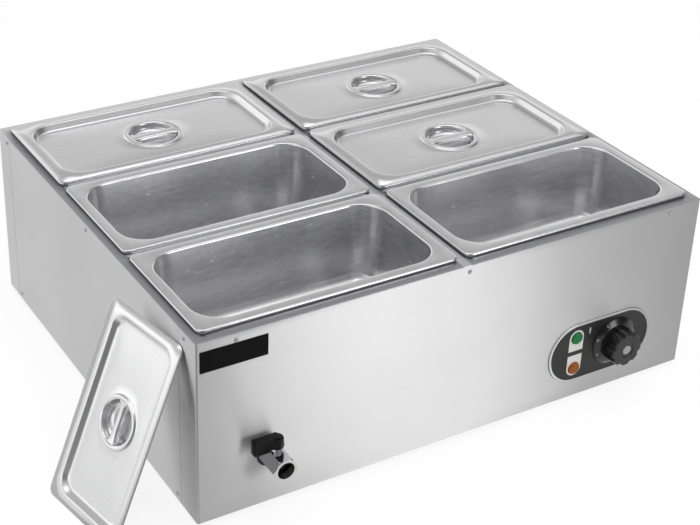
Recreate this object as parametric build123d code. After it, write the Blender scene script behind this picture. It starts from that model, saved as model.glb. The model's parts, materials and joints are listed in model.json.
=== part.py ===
from build123d import *
import os
from math import atan2, cos, degrees, radians, sin, sqrt

# Countertop bain-marie with six food pans, in millimetres.
# X runs from left to right, Y from front to back and Z up.
# The origin is the centre of the base plate's underside.

# Food pans, 1/3 gastronorm
pan_length = 325.0
pan_width = 176.0
pan_depth = 100.0
pan_sheet = 0.8
pan_rim = 13.5
pan_rim_drop = 5.0
pan_rim_corner = 9.0
pan_rim_bend = 2.0
pan_mouth_corner = 35.0
pan_mouth_bend = 3.0
pan_flare = 10.0
pan_floor_round = 14.0

# How the pans lie in the deck
column_gap = 11.0
row_gap = 8.0
side_margin = 9.5
end_margin = 13.0
rim_seat = 9.0
opening_corner = 3.0

# Lids on the pans
lid_sheet = 0.8
lid_clearance = 1.5
lid_sink = 9.0
lid_slope = 5.0
lid_bend = 3.0
lid_panel_round = 6.0
lid_dish_radius = 32.0
lid_dish_depth = 9.0
lid_dish_round = 7.0
lid_ring_width = 8.5
lid_ring_rise = 2.5
lid_bar_width = 16.0
lid_bar_rise = 1.5
lid_bar_round = 5.0

# Lid that leans on the left side, of a smaller pan size
leaning_lid_length = 240.0
leaning_lid_width = 130.0
leaning_lid_rim = 11.0
leaning_lid_recess_corner = 20.0
leaning_lid_sink = 6.5
leaning_lid_dish_radius = 25.5
leaning_lid_ring_width = 7.0
leaning_lid_bar_width = 12.5
leaning_lid_turn = 10.0
leaning_lid_slope = 23.5
leaning_lid_setback = 22.0
leaning_lid_clearance = 0.4

# Cabinet
sheet = 1.0
cabinet_bend = 2.5
front_wrap = 40.0
rear_wrap = 36.0
seam = 0.5
lap = 14.0
lap_root = 4.0
lap_end_gap = 1.0
deck_skirt = 20.0
deck_edge_round = 0.6
base_rim = 16.0
vent_length = 46.0
vent_width = 5.0
vent_columns = 6
vent_rows = 5
vent_spacing = 22.0

# Water tank and what is under it
dry_height = 103.2
tank_sheet = 0.8
element_space = 33.0
tank_margin = 3.0
tank_flange = 10.0
tank_corner = 14.0
tank_floor_round = 10.0

# Cross bars between the rows
bar_seat = 7.0
bar_lip = 10.0
bar_sheet = 1.0
bar_end_gap = 0.5
bar_tongue_width = 5.0
bar_tongue_reach = 7.0

# Screws and rivets of the cabinet
deck_screw_drop = 8.0
deck_screw_radius = 1.5
deck_screw_length = 9.0
deck_screw_head_radius = 2.6
deck_screw_head_height = 1.6
front_screw_inset = 47.0
side_screw_inset = 28.0
rivet_height = 8.0
rivet_radius = 1.6
rivet_length = 5.0
rivet_head_radius = 2.6
rivet_head_height = 1.2
rivet_from_seam = 9.0
fastener_clearance = 0.1

# Rubber feet
foot_radius = 16.0
foot_height = 8.0
foot_taper = 2.0
foot_inset = 42.0
foot_screw_radius = 2.0
foot_screw_head_radius = 4.2
foot_screw_head_height = 3.0
foot_sink_radius = 5.0
foot_sink_depth = 4.5
foot_nut_flats = 7.0
foot_nut_height = 3.2
foot_screw_spare = 2.0

# Name plate, bare
name_plate_length = 80.0
name_plate_height = 26.0
name_plate_thickness = 0.6
name_plate_inset = 4.5
name_plate_drop = 11.2

# Control plate with the lamps and the knob
control_inset = 134.0
control_height = 64.0
control_length = 148.0
control_width = 75.0
control_thickness = 1.2
control_gap = 0.4
control_rim_width = 3.0
control_rim_height = 1.8
control_rim_round = 0.8
lamp_offset_x = -38.0
lamp_offset_z = 21.5
lens_radius = 8.0
lens_height = 3.0
lens_round = 2.0
lamp_body_radius = 6.0
lamp_body_length = 26.0
lamp_nut_flats = 16.0
lamp_nut_height = 4.0

# Thermostat and its knob
knob_offset_x = 22.0
knob_gap = 0.6
knob_skirt_radius = 33.5
knob_skirt_height = 4.5
knob_skirt_taper = 9.0
knob_grip_radius = 22.5
knob_grip_length = 20.5
knob_grip_round = 1.5
knob_scallops = 8
knob_scallop_radius = 6.5
knob_scallop_depth = 2.2
knob_cap_radius = 6.0
knob_cap_thickness = 1.4
knob_ring_radius = 10.0
knob_ring_depth = 1.0
thermostat_width = 38.0
thermostat_depth = 28.0
shaft_radius = 3.0
shaft_in_body = 14.0
shaft_in_knob = 12.0
shaft_clearance = 0.05
shaft_hole_radius = 4.5
thermostat_screw_spacing = 28.0
thermostat_screw_radius = 1.5
thermostat_screw_length = 7.0
thermostat_screw_head_radius = 2.5
thermostat_screw_head_height = 0.8

# Thermostat's capillary and bulb
capillary_radius = 1.1
capillary_bend = 8.0
capillary_rise = 12.0
capillary_entry_y = -205.0
bulb_radius = 3.5
bulb_length = 90.0
bulb_lead = 16.0
capillary_gland_radius = 5.0
capillary_gland_drop = 6.0
capillary_gland_collar = 1.5

# Heating element
element_radius = 4.0
element_lift = 14.0
element_bend = 24.0
element_leg_bend = 10.0
element_inset = 78.0
element_return_inset = 140.0
element_outer_y = 150.0
element_inner_y = 50.0
element_leg_drop = 20.0
element_gland_radius = 7.0
element_gland_flats = 18.0
element_gland_height = 9.0
element_gland_collar = 3.0
element_gland_collar_radius = 9.5

# Over-temperature cut-out
cutout_inset = 220.0
cutout_radius = 9.0
cutout_height = 8.0
cutout_flange_radius = 13.0
cutout_flange = 1.5

# Terminal block and leads
block_y = 200.0
block_end = 12.0
block_depth = 26.0
block_height = 26.0
block_post_count = 6
block_post_radius = 4.0
block_post_height = 5.0
lead_radius = 1.2
lead_bend = 8.0
lead_low = 10.0
lead_high = 18.0
lead_turn_gap = 20.0
lamp_lead_step = 3.5
thermostat_lead_step = 10.5
element_lead_step = 24.0

# Cable gland in the rear panel
gland_inset = 90.0
gland_height = 50.0
gland_bore_radius = 4.5
gland_thread_radius = 8.0
gland_thread_length = 11.0
gland_flats = 22.0
gland_hex_length = 7.0
gland_dome_radius = 10.0
gland_dome_length = 11.0
gland_dome_round = 3.0
gland_nut_flats = 22.0
gland_nut_length = 5.0

# Drain pipe and ball valve
drain_inset = 88.3
drain_drop = 38.9
pipe_radius = 9.5
pipe_wall = 2.0
pipe_bend = 20.0
pipe_setback = 58.0
pipe_in_valve = 3.0
pipe_fit = 0.05
grommet_hole_radius = 12.0
grommet_flange_radius = 16.0
grommet_flange = 1.8
grommet_inner_flange = 2.0
valve_standoff = 2.2
valve_length = 34.4
valve_ball_setback = 11.9
valve_flats = 26.0
valve_end_round = 2.6
valve_waterway_radius = 5.5
valve_outlet_bore_radius = 10.3
valve_outlet_bore_depth = 12.0
ball_radius = 9.0
ball_clearance = 0.3
seat_radius = 7.8
seat_near = 5.8
seat_far = 8.2
stem_radius = 3.0
stem_in_ball = 3.0
stem_boss_radius = 6.5
stem_boss_height = 18.0
lever_gap = 0.4
lever_hub_radius = 8.0
lever_hub_round = 1.5
lever_height = 16.0
lever_reach = 29.0
lever_thickness = 9.5
lever_wing_start = 8.5
lever_wing_drop = 3.4
lever_nose_top = 1.5
lever_nose_foot = 5.0
lever_round = 2.0
lever_nut_flats = 8.0
lever_nut_height = 3.2
lever_nut_level = 7.0
lever_pocket_radius = 5.2
lever_pocket_depth = 4.0
lever_pocket_roof = 1.2

# Largest share of a bar's width or height that one fillet on it takes
fillet_share = 0.45

# Places worked out from the driving dimensions
column_pitch = pan_length + column_gap
row_pitch = pan_width + row_gap
body_width = 2 * pan_length + column_gap + 2 * side_margin
body_depth = 3 * pan_width + 2 * row_gap + 2 * end_margin
half_width = body_width / 2
half_depth = body_depth / 2
tank_floor = dry_height + tank_sheet
rim_top = tank_floor + element_space + pan_depth
deck_top = rim_top - pan_rim_drop
deck_under = deck_top - sheet
pan_floor = rim_top - pan_depth + pan_sheet
mouth_length = pan_length - 2 * pan_rim
mouth_width = pan_width - 2 * pan_rim
opening_length = pan_length - 2 * rim_seat
opening_end = row_pitch + pan_width / 2 - rim_seat
opening_side = column_pitch / 2 + opening_length / 2
control_x = half_width - control_inset
knob_x = control_x + knob_offset_x
lamp_x = control_x + lamp_offset_x
element_leg_x = half_width - element_inset
element_far_x = -element_leg_x
element_near_x = half_width - element_return_inset
element_lead_x = element_leg_x - element_lead_step
cutout_x = half_width - cutout_inset
gland_x = half_width - gland_inset
drain_x = -half_width + drain_inset
drain_height = tank_floor - drain_drop
block_left = lamp_x - lamp_lead_step - block_end
block_right = max(knob_x + thermostat_lead_step, element_lead_x) + block_end
panel_front = -half_depth
plate_front = panel_front - control_thickness
panel_inside = panel_front + sheet
screw_height = deck_top - deck_screw_drop

LEFT, RIGHT, FRONT, BACK = (-1, 0, 0), (1, 0, 0), (0, -1, 0), (0, 1, 0)
UP, DOWN = (0, 0, 1), (0, 0, -1)


def rounded_slab(width, depth, corner, bottom, top):
    """Flat block with rounded upright corners, centred on the origin."""
    return extrude(Pos(0, 0, bottom) * RectangleRounded(width, depth, corner), top - bottom)


def tub(width, depth, corner, floor, mouth, flare, floor_round):
    """Solid with tapered sides and a rounded floor edge, wider at the mouth by the flare."""
    plane = Plane(origin=(0, 0, mouth), x_dir=RIGHT, z_dir=DOWN)
    slope = degrees(atan2(flare, mouth - floor))
    body = extrude(plane * RectangleRounded(width, depth, corner), mouth - floor, taper=slope)
    return fillet(body.edges().group_by(Axis.Z)[0], floor_round)


def level_edges(body, height, length, width):
    """Edges of a body at one height that lie inside a rectangle about the origin."""
    found = []
    for edge in body.edges():
        middle = edge.center()
        level = abs(middle.Z - height) < 0.01
        if level and abs(middle.X) < length / 2 and abs(middle.Y) < width / 2:
            found.append(edge)
    return found


def rod(start, direction, radius, length):
    """Round bar from a point along a direction."""
    return Plane(origin=start, z_dir=direction) * Pos(0, 0, length / 2) * Cylinder(radius, length)


def hexagon(start, direction, flats, length):
    """Hexagon bar from a point along Y or Z, with two of its corners along X."""
    plane = Plane(origin=start, x_dir=RIGHT, z_dir=direction)
    return plane * extrude(RegularPolygon(flats / 2, 6, major_radius=False), length)


def tube_path(points, bends, radius):
    """Round bar along straight runs joined by arcs, with one bend radius or one for each corner."""
    path = FilletPolyline(*points, radius=bends)
    section = Plane(origin=path @ 0, z_dir=path % 0) * Circle(radius)
    return sweep(section, path=path)


def headed_pin(start, direction, radius, length, head_radius, head_height):
    """Screw or rivet whose head stands on the face at start and whose shank runs inwards."""
    outward = tuple(-value for value in direction)
    head = rod(start, outward, head_radius, head_height)
    rim = head.edges().filter_by(GeomType.CIRCLE).sort_by(lambda edge: -outward_distance(edge, start, outward))[0]
    head = fillet(rim, head_height / 2)
    return head + rod(start, direction, radius, length)


def outward_distance(edge, start, outward):
    """How far an edge's centre lies from a point along a direction."""
    return (edge.center(CenterOf.GEOMETRY) - Vector(*start)).dot(Vector(*outward))


# Food pans

def food_pan():
    """Drawn pan with a flat rim, a turned-down edge and rounded walls, at the centre of the body."""
    cap = rounded_slab(pan_length, pan_width, pan_rim_corner, deck_top, rim_top)
    cap = fillet(cap.edges().group_by(Axis.Z)[-1], pan_rim_bend)
    under = rounded_slab(pan_length - 2 * pan_sheet, pan_width - 2 * pan_sheet,
                         pan_rim_corner - pan_sheet, deck_top, rim_top - pan_sheet)
    under = fillet(under.edges().group_by(Axis.Z)[-1], pan_rim_bend - pan_sheet)
    outer = tub(mouth_length + 2 * pan_sheet, mouth_width + 2 * pan_sheet, pan_mouth_corner + pan_sheet,
                pan_floor - pan_sheet, rim_top - pan_sheet / 2, pan_flare, pan_floor_round + pan_sheet)
    inner = tub(mouth_length, mouth_width, pan_mouth_corner, pan_floor, rim_top, pan_flare, pan_floor_round)
    pan = cap - under + outer
    neck = level_edges(pan, rim_top - pan_sheet, mouth_length + 4 * pan_sheet, mouth_width + 4 * pan_sheet)
    pan = fillet(neck, pan_mouth_bend - pan_sheet) - inner
    lip = level_edges(pan, rim_top, mouth_length + pan_sheet, mouth_width + pan_sheet)
    return fillet(lip, pan_mouth_bend)


# Lids

def recessed_lid(length, width, rim, recess_corner, sink, dish_radius, ring_width, bar_width):
    """Sheet lid with a sunk panel and a round finger dish with a raised ring and a bar across it.
    The underside of its flat rim lies on the XY plane."""
    top = lid_sheet
    recess_length = length - 2 * rim
    recess_width = width - 2 * rim
    panel_top = lid_sheet - sink
    lid = rounded_slab(length, width, pan_rim_corner, 0, top)
    lid += tub(recess_length, recess_width, recess_corner, -sink, top / 2, lid_slope, lid_panel_round)
    neck = level_edges(lid, 0, recess_length + lid_sheet, recess_width + lid_sheet)
    lid = fillet(neck, lid_bend - lid_sheet)
    lid -= tub(recess_length - 2 * lid_sheet, recess_width - 2 * lid_sheet, recess_corner - lid_sheet,
               panel_top, top, lid_slope, lid_panel_round - lid_sheet)
    lid = fillet(level_edges(lid, top, recess_length, recess_width), lid_bend)
    dish_low = panel_top - lid_dish_depth
    inner = dish_plug(dish_radius - lid_sheet, dish_low, panel_top, lid_dish_round)
    outer = dish_plug(dish_radius, dish_low - lid_sheet, panel_top - lid_sheet / 2, lid_dish_round + lid_sheet)
    ring = raised_ring(dish_radius - lid_sheet, ring_width, panel_top, 0)
    ring_hollow = raised_ring(dish_radius - lid_sheet, ring_width, panel_top, lid_sheet)
    bar_top = panel_top + lid_bar_rise
    ring_middle = dish_radius - lid_sheet + ring_width / 2
    reach = dish_plug(dish_radius, dish_low - lid_sheet, panel_top, lid_dish_round + lid_sheet)
    reach += rod((0, 0, panel_top), UP, ring_middle, lid_bar_rise + lid_sheet)
    bar = grip_bar(2 * ring_middle, bar_width, dish_low - lid_sheet, bar_top, lid_bar_round)
    hollow = grip_bar(2 * (dish_radius - lid_sheet), bar_width - 2 * lid_sheet,
                      dish_low - 2 * lid_sheet, bar_top - lid_sheet, lid_bar_round - lid_sheet)
    return lid - inner + outer - inner + ring + (bar & reach) - hollow - ring_hollow


def raised_ring(inner_radius, width, level, inset):
    """Ring with an arc for its section, which rises from a level; the inset gives its hollow side."""
    tube = (width ** 2 / 4 + lid_ring_rise ** 2) / (2 * lid_ring_rise)
    middle = inner_radius + width / 2
    ring = Pos(0, 0, level + lid_ring_rise - tube) * Torus(middle, tube - inset)
    reach = 2 * (middle + tube)
    return ring & Pos(0, 0, level - inset + lid_ring_rise) * Box(reach, reach, 2 * lid_ring_rise)


def dish_plug(radius, low, high, low_round):
    """Round plug with a rounded lower edge."""
    plug = Pos(0, 0, low) * extrude(Circle(radius), high - low)
    return fillet(plug.edges().group_by(Axis.Z)[0], low_round)


def grip_bar(length, width, low, high, top_round):
    """Bar along X with its two upper edges rounded."""
    bar = Pos(0, 0, (low + high) / 2) * Box(length, width, high - low)
    return fillet(bar.edges().filter_by(Axis.X).group_by(Axis.Z)[-1], min(top_round, fillet_share * width))


def leaning_lid():
    """Lid that stands on the floor on a short edge and leans on the left side with one corner."""
    turn, slope = radians(leaning_lid_turn), radians(leaning_lid_slope)
    toward = Vector(cos(turn), sin(turn), 0)
    along = toward * sin(slope) + Vector(0, 0, cos(slope))
    outward = toward * -cos(slope) + Vector(0, 0, sin(slope))
    lid = recessed_lid(leaning_lid_length, leaning_lid_width, leaning_lid_rim,
                       leaning_lid_recess_corner, leaning_lid_sink, leaning_lid_dish_radius,
                       leaning_lid_ring_width, leaning_lid_bar_width)
    lid = Plane(origin=(0, 0, 0), x_dir=along, z_dir=outward) * lid
    box = lid.bounding_box()
    return Pos(-half_width - leaning_lid_clearance - box.max.X,
               panel_front + leaning_lid_setback - box.min.Y - leaning_lid_rim,
               -foot_height - box.min.Z) * lid


# Cabinet

def screw_places():
    """Point on the cabinet's skin and inward direction of each deck screw."""
    places = []
    for x in (-half_width + front_screw_inset, 0, half_width - front_screw_inset):
        places.append(((x, -half_depth, screw_height), BACK))
        places.append(((x, half_depth, screw_height), FRONT))
    for y in (-half_depth + side_screw_inset, 0, half_depth - side_screw_inset):
        places.append(((-half_width, y, screw_height), RIGHT))
        places.append(((half_width, y, screw_height), LEFT))
    return places


def rivet_places():
    """Point on the skin and inward direction of each rivet at the foot of a side seam."""
    front = -half_depth + front_wrap + seam + rivet_from_seam
    back = half_depth - rear_wrap - seam - rivet_from_seam
    places = []
    for y in (front, back):
        places.append(((-half_width, y, rivet_height), RIGHT))
        places.append(((half_width, y, rivet_height), LEFT))
    return places


def cabinet_holes():
    """Round cuts for the deck screws and the rivets."""
    cuts = []
    for start, direction in screw_places():
        cuts.append(rod(start, direction, deck_screw_radius + fastener_clearance, deck_screw_length))
    for start, direction in rivet_places():
        cuts.append(rod(start, direction, rivet_radius + fastener_clearance, rivet_length))
    return cuts


def skin_ring():
    """Plan of the four walls of the cabinet, one sheet thick."""
    outside = RectangleRounded(body_width, body_depth, cabinet_bend)
    return outside - RectangleRounded(body_width - 2 * sheet, body_depth - 2 * sheet, cabinet_bend - sheet)


def wrapped_panel(centre_y, wrap):
    """Front or rear panel, turned round both corners by the wrap."""
    band = Pos(0, centre_y) * Rectangle(body_width, wrap)
    return extrude(skin_ring() & band, deck_under)


def front_panel():
    panel = wrapped_panel(-half_depth + front_wrap / 2, front_wrap)
    rim = control_outline(control_gap + control_rim_width, control_rim_height)
    crest = rim.edges().group_by(Axis.Y)[0]
    rim = fillet(crest, control_rim_round) - control_outline(control_gap, control_rim_height)
    panel += rim
    panel -= rod((drain_x, panel_front, drain_height), BACK, grommet_hole_radius, sheet)
    for cut in control_holes() + cabinet_holes():
        panel -= cut
    return panel


def rear_panel():
    panel = wrapped_panel(half_depth - rear_wrap / 2, rear_wrap)
    panel -= rod((gland_x, half_depth, gland_height), FRONT, gland_thread_radius + fastener_clearance, sheet)
    for cut in cabinet_holes():
        panel -= cut
    return panel


def side_panel(side):
    """Side panel between the two wraps, with a joggled strip behind each of them."""
    front = -half_depth + front_wrap + seam
    back = half_depth - rear_wrap - seam
    wall = Pos(side * (half_width - sheet / 2), (front + back) / 2, deck_under / 2)
    panel = wall * Box(sheet, back - front, deck_under)
    low = base_rim + lap_end_gap
    high = deck_under - deck_skirt - lap_end_gap
    strip_length = lap + seam + lap_root
    for y in (front + lap_root - strip_length / 2, back - lap_root + strip_length / 2):
        strip = Pos(side * (half_width - 1.5 * sheet), y, (low + high) / 2)
        panel += strip * Box(sheet, strip_length, high - low)
    for cut in cabinet_holes():
        panel -= cut
    return panel


def base_plate():
    """Shallow tray inside the foot of the walls, with vent slots and holes for the feet."""
    width, depth, corner = body_width - 2 * sheet, body_depth - 2 * sheet, cabinet_bend - sheet
    tray = rounded_slab(width, depth, corner, 0, base_rim)
    tray -= rounded_slab(width - 2 * sheet, depth - 2 * sheet, corner - sheet / 2, sheet, base_rim)
    vents = GridLocations(2 * vent_length, vent_spacing, vent_columns, vent_rows)
    tray -= extrude(Sketch() + [vent * SlotOverall(vent_length, vent_width) for vent in vents], sheet)
    for x, y in foot_places().values():
        tray -= rod((x, y, 0), UP, foot_screw_radius + fastener_clearance, sheet)
    for cut in cabinet_holes():
        tray -= cut
    return tray


def top_deck():
    """Top sheet with an opening for each column of pans and a skirt turned down inside the walls."""
    deck = rounded_slab(body_width, body_depth, cabinet_bend, deck_under, deck_top)
    deck = fillet(deck.edges().group_by(Axis.Z)[-1], deck_edge_round)
    width, depth, corner = body_width - 2 * sheet, body_depth - 2 * sheet, cabinet_bend - sheet
    skirt = rounded_slab(width, depth, corner, deck_under - deck_skirt, deck_under)
    skirt -= rounded_slab(width - 2 * sheet, depth - 2 * sheet, corner - sheet / 2,
                          deck_under - deck_skirt, deck_under)
    deck += skirt
    for column in (-1, 1):
        opening = rounded_slab(opening_length, 2 * opening_end, opening_corner, deck_under, deck_top)
        deck -= Pos(column * column_pitch / 2, 0, 0) * opening
    for cut in cabinet_holes():
        deck -= cut
    return deck


def cross_bar(column, row):
    """Channel between two rows of pans, hung by a tongue at each end on the deck."""
    width = row_gap + 2 * bar_seat
    length = opening_length - 2 * bar_end_gap
    bar = Pos(0, 0, deck_top - bar_lip / 2) * Box(length, width, bar_lip)
    bar -= Pos(0, 0, deck_top - bar_sheet - bar_lip / 2) * Box(length, width - 2 * bar_sheet, bar_lip)
    tongue_length = 2 * bar_tongue_reach + bar_end_gap
    for end in (-1, 1):
        middle = end * (opening_length / 2 + bar_tongue_reach - tongue_length / 2)
        bar += Pos(middle, 0, deck_top + bar_sheet / 2) * Box(tongue_length, bar_tongue_width, bar_sheet)
    return Pos(column * column_pitch / 2, row * row_pitch / 2, 0) * bar


def name_plate():
    x = -half_width + name_plate_inset + name_plate_length / 2
    z = deck_top - name_plate_drop - name_plate_height / 2
    place = Pos(x, panel_front - name_plate_thickness / 2, z)
    return place * Box(name_plate_length, name_plate_thickness, name_plate_height)


# Water tank and heating

def water_tank():
    """Open box hung under the deck by its flange, with holes in the floor."""
    length = 2 * (opening_side + tank_margin)
    width = 2 * (opening_end + tank_margin)
    outer = rounded_slab(length + 2 * tank_sheet, width + 2 * tank_sheet, tank_corner + tank_sheet,
                         dry_height, deck_under)
    outer = fillet(outer.edges().group_by(Axis.Z)[0], tank_floor_round + tank_sheet)
    inner = rounded_slab(length, width, tank_corner, tank_floor, deck_under)
    inner = fillet(inner.edges().group_by(Axis.Z)[0], tank_floor_round)
    flange = rounded_slab(length + 2 * (tank_sheet + tank_flange), width + 2 * (tank_sheet + tank_flange),
                          tank_corner + tank_flange, deck_under - tank_sheet, deck_under)
    tank = outer + flange - inner
    tank -= rod((drain_x, panel_front + pipe_setback, dry_height), UP, pipe_radius, tank_sheet)
    for y in (-element_outer_y, element_outer_y):
        tank -= rod((element_leg_x, y, dry_height), UP, element_gland_radius, tank_sheet)
    tank -= rod((knob_x, capillary_entry_y, dry_height), UP, capillary_gland_radius / 2, tank_sheet)
    return tank


def heating_element():
    """Bent tube that lies above the tank floor, with both ends down through it."""
    z = tank_floor + element_lift
    low = dry_height - element_leg_drop
    half = [(element_leg_x, element_outer_y, low), (element_leg_x, element_outer_y, z),
            (element_far_x, element_outer_y, z), (element_far_x, element_inner_y, z),
            (element_near_x, element_inner_y, z)]
    mirrored = [(x, -y, height) for x, y, height in reversed(half)]
    points = half + mirrored
    bends = [element_leg_bend] + [element_bend] * (len(points) - 4) + [element_leg_bend]
    return tube_path(points, bends, element_radius)


def element_gland(y):
    """Threaded bush through the tank floor with a hexagon under it and a collar above it."""
    gland = hexagon((element_leg_x, y, dry_height), DOWN, element_gland_flats, element_gland_height)
    gland += rod((element_leg_x, y, dry_height), UP, element_gland_radius, tank_sheet)
    gland += rod((element_leg_x, y, tank_floor), UP, element_gland_collar_radius, element_gland_collar)
    bore_low = (element_leg_x, y, dry_height - element_gland_height)
    bore_length = element_gland_height + tank_sheet + element_gland_collar
    return gland - rod(bore_low, UP, element_radius, bore_length)


def overheat_cutout():
    body = rod((cutout_x, 0, dry_height), DOWN, cutout_radius, cutout_height)
    return body + rod((cutout_x, 0, dry_height), DOWN, cutout_flange_radius, cutout_flange)


# Control plate, lamps and thermostat

def control_outline(margin, thickness):
    """Block with round ends on the front panel, wider than the control plate by the margin."""
    plane = Plane(origin=(control_x, panel_front, control_height), x_dir=RIGHT, z_dir=FRONT)
    return plane * extrude(SlotOverall(control_length + 2 * margin, control_width + 2 * margin), thickness)


def lamp_heights():
    return {"green": control_height + lamp_offset_z, "amber": control_height - lamp_offset_z}


def control_holes():
    """Round cuts through the control plate and the front panel."""
    depth = control_thickness + sheet
    cuts = [rod((knob_x, plate_front, control_height), BACK, shaft_hole_radius, depth)]
    for z in lamp_heights().values():
        cuts.append(rod((lamp_x, plate_front, z), BACK, lamp_body_radius + fastener_clearance, depth))
    for start in thermostat_screw_starts():
        cuts.append(rod(start, BACK, thermostat_screw_radius + fastener_clearance, sheet))
    return cuts


def control_plate():
    plate = control_outline(0, control_thickness)
    for cut in control_holes():
        plate -= cut
    for start in thermostat_screw_starts():
        plate -= rod(start, FRONT, thermostat_screw_head_radius + fastener_clearance,
                     thermostat_screw_head_height)
    return plate


def lamp_lens(z):
    lens = rod((lamp_x, plate_front, z), FRONT, lens_radius, lens_height)
    return fillet(lens.edges().group_by(Axis.Y)[0], lens_round)


def lamp_body(z):
    return rod((lamp_x, plate_front, z), BACK, lamp_body_radius, lamp_body_length)


def lamp_nut(z):
    nut = hexagon((lamp_x, panel_inside, z), BACK, lamp_nut_flats, lamp_nut_height)
    return nut - rod((lamp_x, panel_inside, z), BACK, lamp_body_radius + fastener_clearance, lamp_nut_height)


def thermostat_screw_starts():
    """Points on the front panel under the heads of the thermostat's two screws."""
    step = thermostat_screw_spacing / 2
    return [(knob_x, panel_front, control_height + step), (knob_x, panel_front, control_height - step)]


def thermostat_body():
    middle = panel_inside + thermostat_depth / 2
    body = Pos(knob_x, middle, control_height) * Box(thermostat_width, thermostat_depth, thermostat_width)
    body -= rod((knob_x, panel_inside, control_height), BACK, shaft_radius + shaft_clearance, shaft_in_body)
    for x, y, z in thermostat_screw_starts():
        body -= rod((x, panel_inside, z), BACK, thermostat_screw_radius, thermostat_screw_length - sheet)
    return body


def thermostat_screw(start):
    screw = rod(start, BACK, thermostat_screw_radius, thermostat_screw_length)
    return screw + rod(start, FRONT, thermostat_screw_head_radius, thermostat_screw_head_height)


def knob_back():
    return plate_front - knob_gap


def thermostat_shaft():
    inner_end = panel_inside + shaft_in_body - shaft_clearance
    outer_end = knob_back() - shaft_in_knob
    return rod((knob_x, inner_end, control_height), FRONT, shaft_radius, inner_end - outer_end)


def thermostat_knob():
    """Skirted knob with scallops round the grip, a ring sunk in its face and a seat for the cap."""
    back = knob_back()
    grip_back = back - knob_skirt_height
    face = grip_back - knob_grip_length
    axis = Plane(origin=(knob_x, back, control_height), z_dir=FRONT)
    skirt = axis * Pos(0, 0, knob_skirt_height / 2) * Cone(
        knob_skirt_radius, knob_skirt_radius - knob_skirt_taper, knob_skirt_height)
    grip = rod((knob_x, grip_back, control_height), FRONT, knob_grip_radius, knob_grip_length)
    grip = fillet(grip.edges().group_by(Axis.Y)[0], knob_grip_round)
    cut_radius = knob_grip_radius + knob_scallop_radius - knob_scallop_depth
    for index in range(knob_scallops):
        angle = radians(360 * (index + 0.5) / knob_scallops)
        start = (knob_x + cut_radius * cos(angle), grip_back, control_height + cut_radius * sin(angle))
        grip -= rod(start, FRONT, knob_scallop_radius, knob_grip_length)
    knob = skirt + grip
    ring = rod((knob_x, face, control_height), BACK, knob_ring_radius, knob_ring_depth)
    knob -= ring
    seat = (knob_x, face + knob_ring_depth, control_height)
    knob -= rod(seat, BACK, knob_cap_radius, knob_cap_thickness / 2)
    return knob - rod((knob_x, back, control_height), FRONT, shaft_radius, shaft_in_knob)


def knob_cap():
    face = knob_back() - knob_skirt_height - knob_grip_length
    seat = (knob_x, face + knob_ring_depth + knob_cap_thickness / 2, control_height)
    cap = rod(seat, FRONT, knob_cap_radius, knob_cap_thickness)
    return fillet(cap.edges().group_by(Axis.Y)[0], knob_cap_thickness / 3)


def capillary_bulb():
    """Thin tube from the thermostat up through the tank floor, and the bulb on the floor."""
    start_y = panel_inside + thermostat_depth
    z = control_height + capillary_rise
    bulb_z = tank_floor + bulb_radius
    points = [(knob_x, start_y, z), (knob_x, capillary_entry_y, z), (knob_x, capillary_entry_y, bulb_z),
              (knob_x - bulb_lead, capillary_entry_y, bulb_z)]
    tube = tube_path(points, [capillary_bend, bulb_radius], capillary_radius)
    return tube + rod(points[-1], LEFT, bulb_radius, bulb_length)


def capillary_gland():
    start = (knob_x, capillary_entry_y, dry_height)
    gland = rod(start, DOWN, capillary_gland_radius, capillary_gland_drop)
    gland += rod(start, UP, capillary_gland_radius / 2, tank_sheet)
    bore = (knob_x, capillary_entry_y, dry_height - capillary_gland_drop)
    return gland - rod(bore, UP, capillary_radius, capillary_gland_drop + tank_sheet)


# Supply side

def terminal_block():
    length = block_right - block_left
    place = Pos((block_left + block_right) / 2, block_y, sheet + block_height / 2)
    block = place * Box(length, block_depth, block_height)
    for index in range(block_post_count):
        x = block_left + length * (index + 0.5) / block_post_count
        block += rod((x, block_y, sheet + block_height), UP, block_post_radius, block_post_height)
    return block


def leads():
    """Leads from the terminal block to the lamps, the thermostat and the two element ends."""
    start_y = block_y - block_depth / 2
    lamp_end = plate_front + lamp_body_length
    thermostat_end = panel_inside + thermostat_depth
    routes = []
    for x, height, end_y, turn in (
            (lamp_x - lamp_lead_step, lamp_heights()["amber"], lamp_end, 1),
            (lamp_x + lamp_lead_step, lamp_heights()["green"], lamp_end, 2),
            (knob_x - thermostat_lead_step, control_height, thermostat_end, 1),
            (knob_x + thermostat_lead_step, control_height, thermostat_end, 1)):
        level = sheet + lead_low
        turn_y = end_y + turn * lead_turn_gap
        routes.append([(x, start_y, level), (x, turn_y, level), (x, turn_y, height), (x, end_y, height)])
    element_end = dry_height - element_leg_drop
    for y, level in ((element_outer_y, lead_low), (-element_outer_y, lead_high)):
        z = sheet + level
        routes.append([(element_lead_x, start_y, z), (element_lead_x, y, z),
                       (element_leg_x, y, z), (element_leg_x, y, element_end)])
    return [tube_path(route, lead_bend, lead_radius) for route in routes]


def cable_gland():
    """Gland body through the rear panel, with a domed cap outside and a bore for a cord."""
    face = (gland_x, half_depth, gland_height)
    gland = hexagon(face, BACK, gland_flats, gland_hex_length)
    dome_start = (gland_x, half_depth + gland_hex_length, gland_height)
    dome = rod(dome_start, BACK, gland_dome_radius, gland_dome_length)
    gland += fillet(dome.edges().group_by(Axis.Y)[-1], gland_dome_round)
    gland += rod(face, FRONT, gland_thread_radius, gland_thread_length)
    bore_start = (gland_x, half_depth - gland_thread_length, gland_height)
    bore_length = gland_thread_length + gland_hex_length + gland_dome_length
    return gland - rod(bore_start, BACK, gland_bore_radius, bore_length)


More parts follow.
